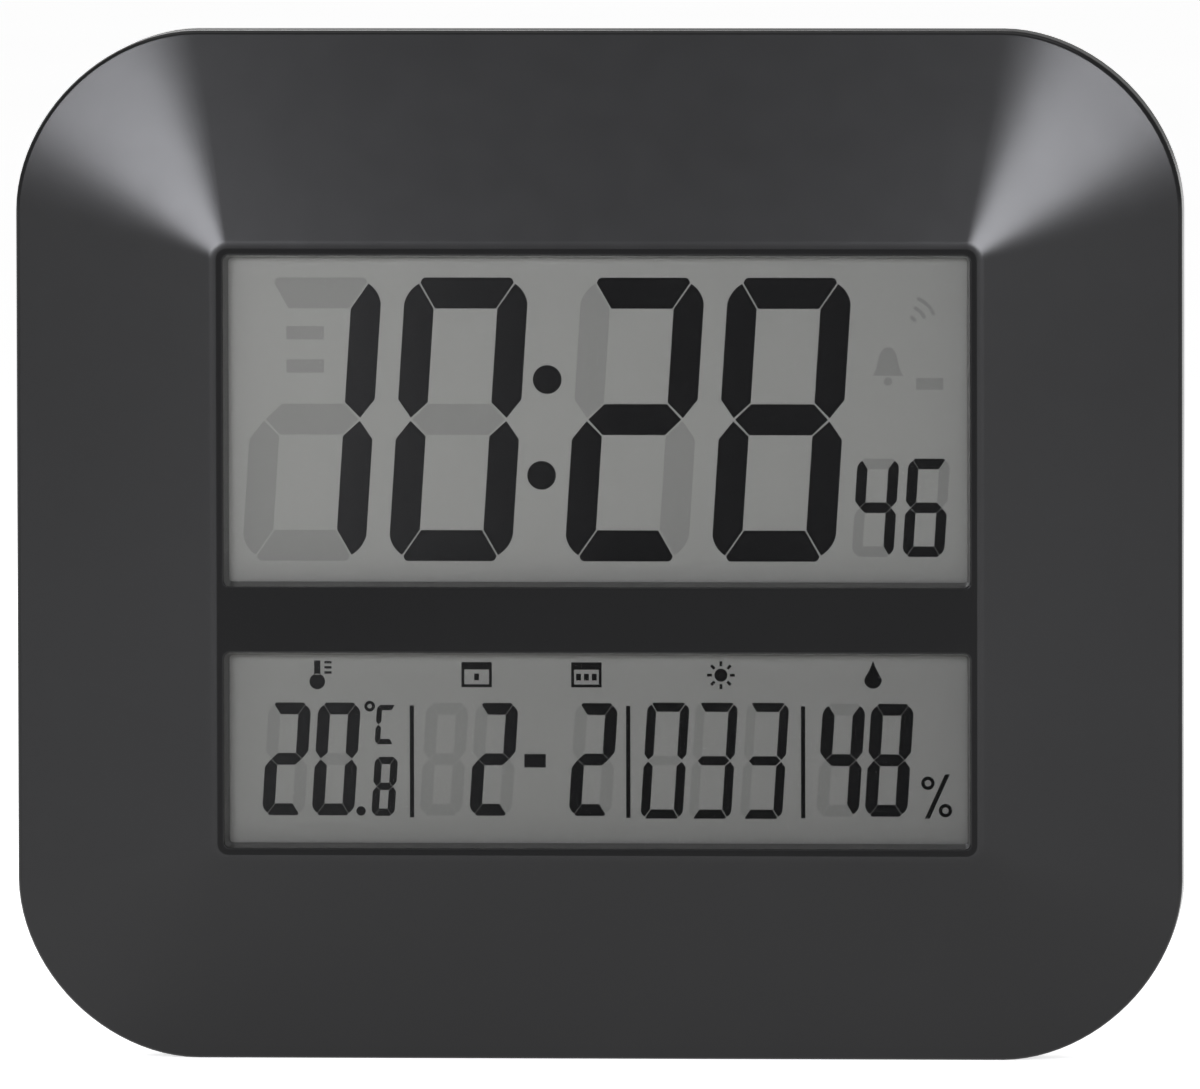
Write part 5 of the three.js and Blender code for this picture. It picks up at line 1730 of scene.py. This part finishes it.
@dataclass
class Display:
    """The liquid crystal display: its lit and unlit segments, with a pictogram above each value."""

    film_node: str = "front_polariser"

    def __post_init__(self) -> None:
        """Reads where the film's face lies."""
        self.face_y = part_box(self.film_node)[0].y
        self.lit = Drawing("lit_segments", self.face_y)
        self.unlit = Drawing("unlit_segments", self.face_y, 0.012 * MM)

    def show(self, digit: Digit, stroke: Stroke, ghosts: str = "abcdefg") -> None:
        """Draws a character.

        Args:
            digit: Its place and size.
            stroke: The segments that are lit.
            ghosts: The segments that show faintly where they aren't lit.
        """
        for letter, shape in digit.outlines().items():
            if letter in stroke.value:
                self.lit.add(shape)
            elif letter in ghosts:
                self.unlit.add(shape)

    def draw_time(self) -> None:
        """Hours, minutes and seconds."""
        for x, stroke, ghosts in (
            (-63.8, Stroke.ONE, "abcdeg"), (-31.1, Stroke.ZERO, "abcdefg"),
            (8.2, Stroke.TWO, "abcdefg"), (40.9, Stroke.EIGHT, "abcdefg"),
        ):
            self.show(Digit(x, 142.95, 27.5, 63.2, 6.65, 6.9, 0.32), stroke, ghosts)
        for x, z in ((-11.3, 151.85), (-12.6, 130.5)):
            self.lit.disc(x, z, 3.2)
        for x, stroke in ((61.8, Stroke.FOUR), (73.1, Stroke.SIX)):
            self.show(Digit(x, 123.4, 9.3, 21.9, 2.35, 2.35, 0.07), stroke)

    def draw_values(self) -> None:
        """Temperature, date, day of the year and humidity."""
        for x, stroke in (
            (-69.7, Stroke.TWO), (-58.6, Stroke.ZERO), (-34.5, Stroke.NONE), (-23.4, Stroke.TWO),
            (-1.2, Stroke.TWO), (54.0, Stroke.FOUR), (64.8, Stroke.EIGHT),
        ):
            self.show(Digit(x, 67.1, 9.5, 25.2, 2.75, 2.65, 0.08), stroke)
        for x, stroke in ((14.8, Stroke.ZERO), (25.6, Stroke.THREE), (37.0, Stroke.THREE)):
            self.show(Digit(x, 66.9, 9.4, 25.9, 2.05, 2.05, 0.2), stroke)
        self.show(Digit(-47.8, 61.0, 5.2, 13.2, 1.65, 1.65, 0.06), Stroke.EIGHT)
        self.show(Digit(-47.5, 74.8, 4.5, 8.8, 1.2, 1.2, 0.04), Stroke.UNIT_C, "")
        self.lit.disc(-53.1, 55.5, 1.05)
        self.lit.ring(-51.1, 78.9, 1.2, 0.5)
        self.lit.bar(-14.2, 66.8, 4.8, 3.0)
        for x in (-41.7, 6.6, 45.6):
            self.lit.bar(x, 66.6, 0.95, 25.0)
        for x, z in ((73.4, 62.0), (77.3, 55.9)):
            self.lit.ring(x, z, 1.5, 0.7)
        self.lit.add([(72.7, 54.1), (73.8, 54.1), (78.3, 64.0), (77.2, 64.0)])

    def draw_pictograms(self, z: float = 86.0) -> None:
        """A plain sign above each value: thermometer, calendar pages, sun and drop."""
        self.thermometer(-62.8, z)
        self.calendar(-27.2, z, 1)
        self.calendar(-2.7, z, 3)
        self.sun(27.3, z)
        self.drop(61.2, z)

    def thermometer(self, x: float, z: float) -> None:
        """A bulb with a stem and three marks."""
        self.lit.disc(x, z - 1.6, 1.75)
        self.lit.bar(x, z + 1.5, 1.4, 3.2)
        for i in range(3):
            self.lit.bar(x + 2.4, z + 0.4 + 1.15 * i, 1.6, 0.55)

    def calendar(self, x: float, z: float, columns: int) -> None:
        """A calendar page with a row of marks."""
        width, height, line, band = 6.8, 5.6, 0.65, 1.0
        self.lit.bar(x, z, width, height)
        self.lit.bar(x, z - band / 2, width - 2 * line, height - band - 2 * line)
        for i in range(columns):
            self.lit.bar(x + (i - (columns - 1) / 2) * 1.75, z - band / 2, 1.1, 1.5)

    def sun(self, x: float, z: float, rays: int = 8) -> None:
        """A disc with rays."""
        self.lit.disc(x, z, 1.45)
        for i in range(rays):
            angle = 2 * math.pi * i / rays
            cos, sin, half = math.cos(angle), math.sin(angle), 0.32
            self.lit.add([
                (x + cos * along - sin * across, z + sin * along + cos * across)
                for along, across in ((2, -half), (3.1, -half), (3.1, half), (2, half))
            ])

    def drop(self, x: float, z: float, sides: int = 36) -> None:
        """A drop: a round foot that runs up into a point."""
        radius, rise, points = 1.95, 4.2, []
        for i in range(sides):
            angle = math.pi * (-1.5 + 2 * i / sides)
            upward = max(math.sin(angle), 0)
            lift, narrow = upward ** 3 * (rise - radius), 1 - 0.75 * upward ** 2
            points.append((
                x + radius * math.cos(angle) * narrow, z - 1 + radius * math.sin(angle) + lift
            ))
        self.lit.add(points)

    def draw_ghosts(self) -> None:
        """Faint marks for the signs that aren't lit: half of the day, alarm bell and radio waves."""
        for z in (162.2, 154.8):
            self.unlit.bar(-65.3, z, 8.4, 3.0)
        self.bell(64.6, 155.4)
        self.unlit.bar(73.9, 151.0, 6.0, 2.6)
        for i in range(3):
            self.wave(69.0, 164.2, 2.2 + 2.2 * i)

    def bell(self, x: float, z: float) -> None:
        """A faint bell: a dome that flares to its rim, with a clapper."""
        half = [(3.4, -2.6), (2.7, -1.4), (2.3, 0.4), (1.9, 2.2), (1.1, 3.4), (0.0, 3.8)]
        right = [(x + a, z + b) for a, b in half]
        self.unlit.add(right + [(2 * x - a, b) for a, b in reversed(right[:-1])])
        self.unlit.disc(x, z - 3.9, 0.95, 24)

    def wave(self, x: float, z: float, radius: float, width: float = 0.8, steps: int = 10) -> None:
        """A faint radio wave: a band along an arc about a place."""
        angles = [math.radians(20 + 50 * i / steps) for i in range(steps + 1)]
        self.unlit.add([
            (x + r * math.cos(angle), z + r * math.sin(angle))
            for r, side in ((radius, angles), (radius - width, reversed(angles))) for angle in side
        ])

    def build(self) -> tuple[Object, Object]:
        """Draws everything.

        Returns:
            The lit and the unlit shapes.
        """
        self.draw_time()
        self.draw_values()
        self.draw_pictograms()
        self.draw_ghosts()
        return self.lit.build(), self.unlit.build()


# The studio


@dataclass(frozen=True)
class Bearing:
    """A direction from the clock, in degrees, and the turn about it of what looks back at the clock."""

    azimuth: float  # to the right of the front
    elevation: float
    turn: float = 0.0  # anticlockwise, as seen from the front

    def put(self, piece: Object, target: Vector, distance: float) -> None:
        """Stands a light or camera at a distance from a target, turned to it."""
        azimuth, elevation = math.radians(self.azimuth), math.radians(self.elevation)
        away = Vector((
            math.sin(azimuth) * math.cos(elevation), -math.cos(azimuth) * math.cos(elevation),
            math.sin(elevation),
        ))
        turn = Matrix.Rotation(math.radians(self.turn), 3, "Z")
        piece.location = target + away * distance
        piece.rotation_euler = ((-away).to_track_quat("-Z", "Y").to_matrix() @ turn).to_euler()
        bpy.context.collection.objects.link(piece)


@dataclass(frozen=True)
class Softbox:
    """A soft rectangular light that faces the clock from a direction."""

    name: str
    bearing: Bearing
    power: float
    width: float = 1.6
    height: float = 1.2
    distance: float = 1.6
    tint: tuple[float, float, float] = (1, 1, 1)

    def place(self, target: Vector) -> None:
        """Sets up the light, turned to the target."""
        light = bpy.data.lights.new(self.name, "AREA")
        light.shape, light.size, light.size_y = "RECTANGLE", self.width, self.height
        light.energy, light.color = self.power, self.tint
        stand = bpy.data.objects.new(self.name, light)
        stand.visible_camera = False
        self.bearing.put(stand, target, self.distance)


@dataclass
class Studio:
    """The pale floor, the soft light and the camera at the photograph's angle."""

    view: Bearing = Bearing(3.6, 3.6, -0.12)  # of the camera
    distance: float = 5.0
    view_width: float = 267.6 * MM  # width of the picture at the clock
    aim_x: float = -0.2 * MM
    aim_z: float = 114.5 * MM
    sensor: float = 36.0
    floor_size: float = 40.0
    floor_glow: float = 0.76  # keeps the floor pale where no lamp reaches it
    sky: float = 0.25  # what lights the clock
    seen_sky: float = 1.0  # what the camera sees past the floor
    strip: tuple[float, float] = (0.42, 0.22)  # size of the lamps that the upper corners mirror
    cool: tuple[float, float, float] = (0.94, 0.945, 1)

    def place_camera(self) -> None:
        """Sets up the camera."""
        data = bpy.data.cameras.new("camera")
        data.sensor_fit, data.sensor_width = "HORIZONTAL", self.sensor
        data.lens = self.sensor * self.distance / self.view_width
        data.clip_end = 100
        camera = bpy.data.objects.new("camera", data)
        self.view.put(camera, Vector((self.aim_x, 0, self.aim_z)), self.distance)
        bpy.context.scene.camera = camera

    def lay_floor(self) -> None:
        """Lays the floor, a plain pale sheet."""
        bpy.ops.mesh.primitive_plane_add(size=self.floor_size)
        floor = settle(bpy.context.object, "studio_floor")
        recipe = Recipe("pale_floor")
        tones = [(0.3, (0.86, 0.86, 0.86)), (0.7, (0.88, 0.88, 0.88))]
        recipe.paint(recipe.noise(3), tones)
        recipe.set(
            Roughness=0.9, Specular_IOR_Level=0.1, Emission_Color=(1, 1, 1, 1),
            Emission_Strength=self.floor_glow,
        )
        dress(floor, recipe.material)

    def light(self) -> None:
        """Hangs the lights and sets the surroundings."""
        target = Vector((0, 0, self.aim_z))
        for box in (
            Softbox("left_softbox", Bearing(-18.4, 12.6, 42), 10.3, *self.strip, tint=self.cool),
            Softbox("right_softbox", Bearing(11.9, 12.5, -42), 10.3, *self.strip, tint=self.cool),
            Softbox("top_softbox", Bearing(0, 80), 6),
            Softbox("rear_softbox", Bearing(-150, 35), 16, distance=1.8),
        ):
            box.place(target)
        world = bpy.data.worlds.new("studio")
        world.use_nodes = True
        nodes = world.node_tree.nodes
        background = nodes["Background"]
        background.inputs["Color"].default_value = (1, 1, 1, 1)
        strength = nodes.new("ShaderNodeMapRange")
        strength.inputs["To Min"].default_value = self.sky
        strength.inputs["To Max"].default_value = self.seen_sky
        seen = nodes.new("ShaderNodeLightPath").outputs["Is Camera Ray"]
        world.node_tree.links.new(seen, strength.inputs["Value"])
        world.node_tree.links.new(strength.outputs["Result"], background.inputs["Strength"])
        bpy.context.scene.world = world

    def build(self) -> None:
        """Sets up everything round the clock."""
        bpy.context.scene.view_settings.view_transform = "Standard"
        self.place_camera()
        self.lay_floor()
        self.light()


@dataclass
class Clock:
    """The whole clock: shapes each sub-assembly, finishes it and puts it on its body."""

    case: Case
    finishes: Finishes

    def __post_init__(self) -> None:
        """Reads the sizes of the moving parts."""
        self.stand, self.bay, self.keys = Stand(), Bay(), Keys()

    def fit_housing(self) -> None:
        """The front moulding, the back and the fold-out leg."""
        shape, finishes = Bezel(self.case), self.finishes
        bezel = shape.build()
        hand_over(bezel, finishes.bezel, "case", "bezel", "front_bezel")
        # the flat front block gets the darker finish, a painted shade
        dress_faces(bezel, finishes.land_painted_shade, at_depth(self.case.low.y))
        dress_faces(bezel, finishes.jamb, shape.is_jamb)
        cover = Cover(self.case, self.stand, self.bay, self.keys).build()
        hand_over(cover, finishes.cover, "case", "cover", "rear_cover")
        hand_over(self.stand.build(), finishes.cover, "stand", "cover", "stand_leg")

    def fit_bay(self) -> None:
        """The battery door, the two cells and their springs."""
        finishes = self.finishes
        hand_over(self.bay.door(), finishes.cover, "door", "cover", "battery_door")
        upper = self.bay.cell()
        lower = self.bay.second_cell(upper)
        hand_over(upper, finishes.upper_wrap, "case", "cell_wrap", "battery_cell_1")
        hand_over(lower, finishes.lower_wrap, "case", "cell_wrap", "battery_cell_2")
        for number in (1, 2):
            spring = self.bay.spring(number)
            hand_over(spring, finishes.spring, "case", "steel", f"battery_spring_{number}")

    def fit_keys(self) -> None:
        """The five keys, each with its sign and the plunger of its switch."""
        for name, key in self.keys.build().items():
            body = f"{name}_key"
            hand_over(key, self.finishes.button, body, "button", f"button_{name}")
            sign = smooth(settle(self.keys.sign(name), f"clock_sign_{name}"))
            hand_over(sign, self.finishes.sign, body, "button")
            node = f"plunger_{name}"
            hand_over(eased(node, Rounding.PLAIN), self.finishes.plunger, body, "plunger", node)

    def fit_screws(self) -> None:
        """The six housing screws and the small ones inside; those of the key board keep their solid."""
        first = Screw().build("first_screw", HOUSING_SCREWS[0])
        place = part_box(HOUSING_SCREWS[0])[0]
        for number, node in enumerate(HOUSING_SCREWS, 1):
            screw = twin(first, f"clock_screw_{number}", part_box(node)[0] - place)
            hand_over(screw, self.finishes.screw, "case", "screw", node)
        bpy.data.objects.remove(first)
        small = Screw(
            radius=1 * MM, head_radius=2.1 * MM, head_height=1.4 * MM, pitch=0.8 * MM,
            cross=0.55 * MM, cross_reach=1.2 * MM, cross_depth=0.8 * MM,
        )
        for node in SMALL_SCREWS:
            hand_over(small.build(f"clock_{node}", node), self.finishes.screw, "case", "screw", node)
        for name in KEY_SCREWS:
            dress(frame_node(name), self.finishes.screw)

    def fit_display(self) -> None:
        """The display's layers and what it shows."""
        lit, unlit = Display().build()
        hand_over(lit, self.finishes.lit, "case", "polariser")
        hand_over(unlit, self.finishes.unlit, "case", "polariser")
        for node, finish in SHEETS.items():
            dress(frame_node(node), getattr(self.finishes, finish))

    def fit_inside(self) -> None:
        """The boards, their components, the contacts and the wires."""
        for inner in INNER_PIECES:
            for node in inner.nodes:
                piece = eased(node, inner.rounding)
                hand_over(piece, getattr(self.finishes, inner.finish), "case", inner.slot, node)

    def build(self) -> None:
        """Fits everything, from the outside in."""
        self.fit_housing()
        self.fit_bay()
        self.fit_keys()
        self.fit_screws()
        self.fit_display()
        self.fit_inside()


def main() -> None:
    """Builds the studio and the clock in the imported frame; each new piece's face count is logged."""
    logging.basicConfig(level=logging.INFO, format="%(message)s")
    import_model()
    Studio().build()
    Clock(Case(), Finishes(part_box("battery_cell_1"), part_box("battery_cell_2"))).build()


if __name__ == "__main__":
    main()
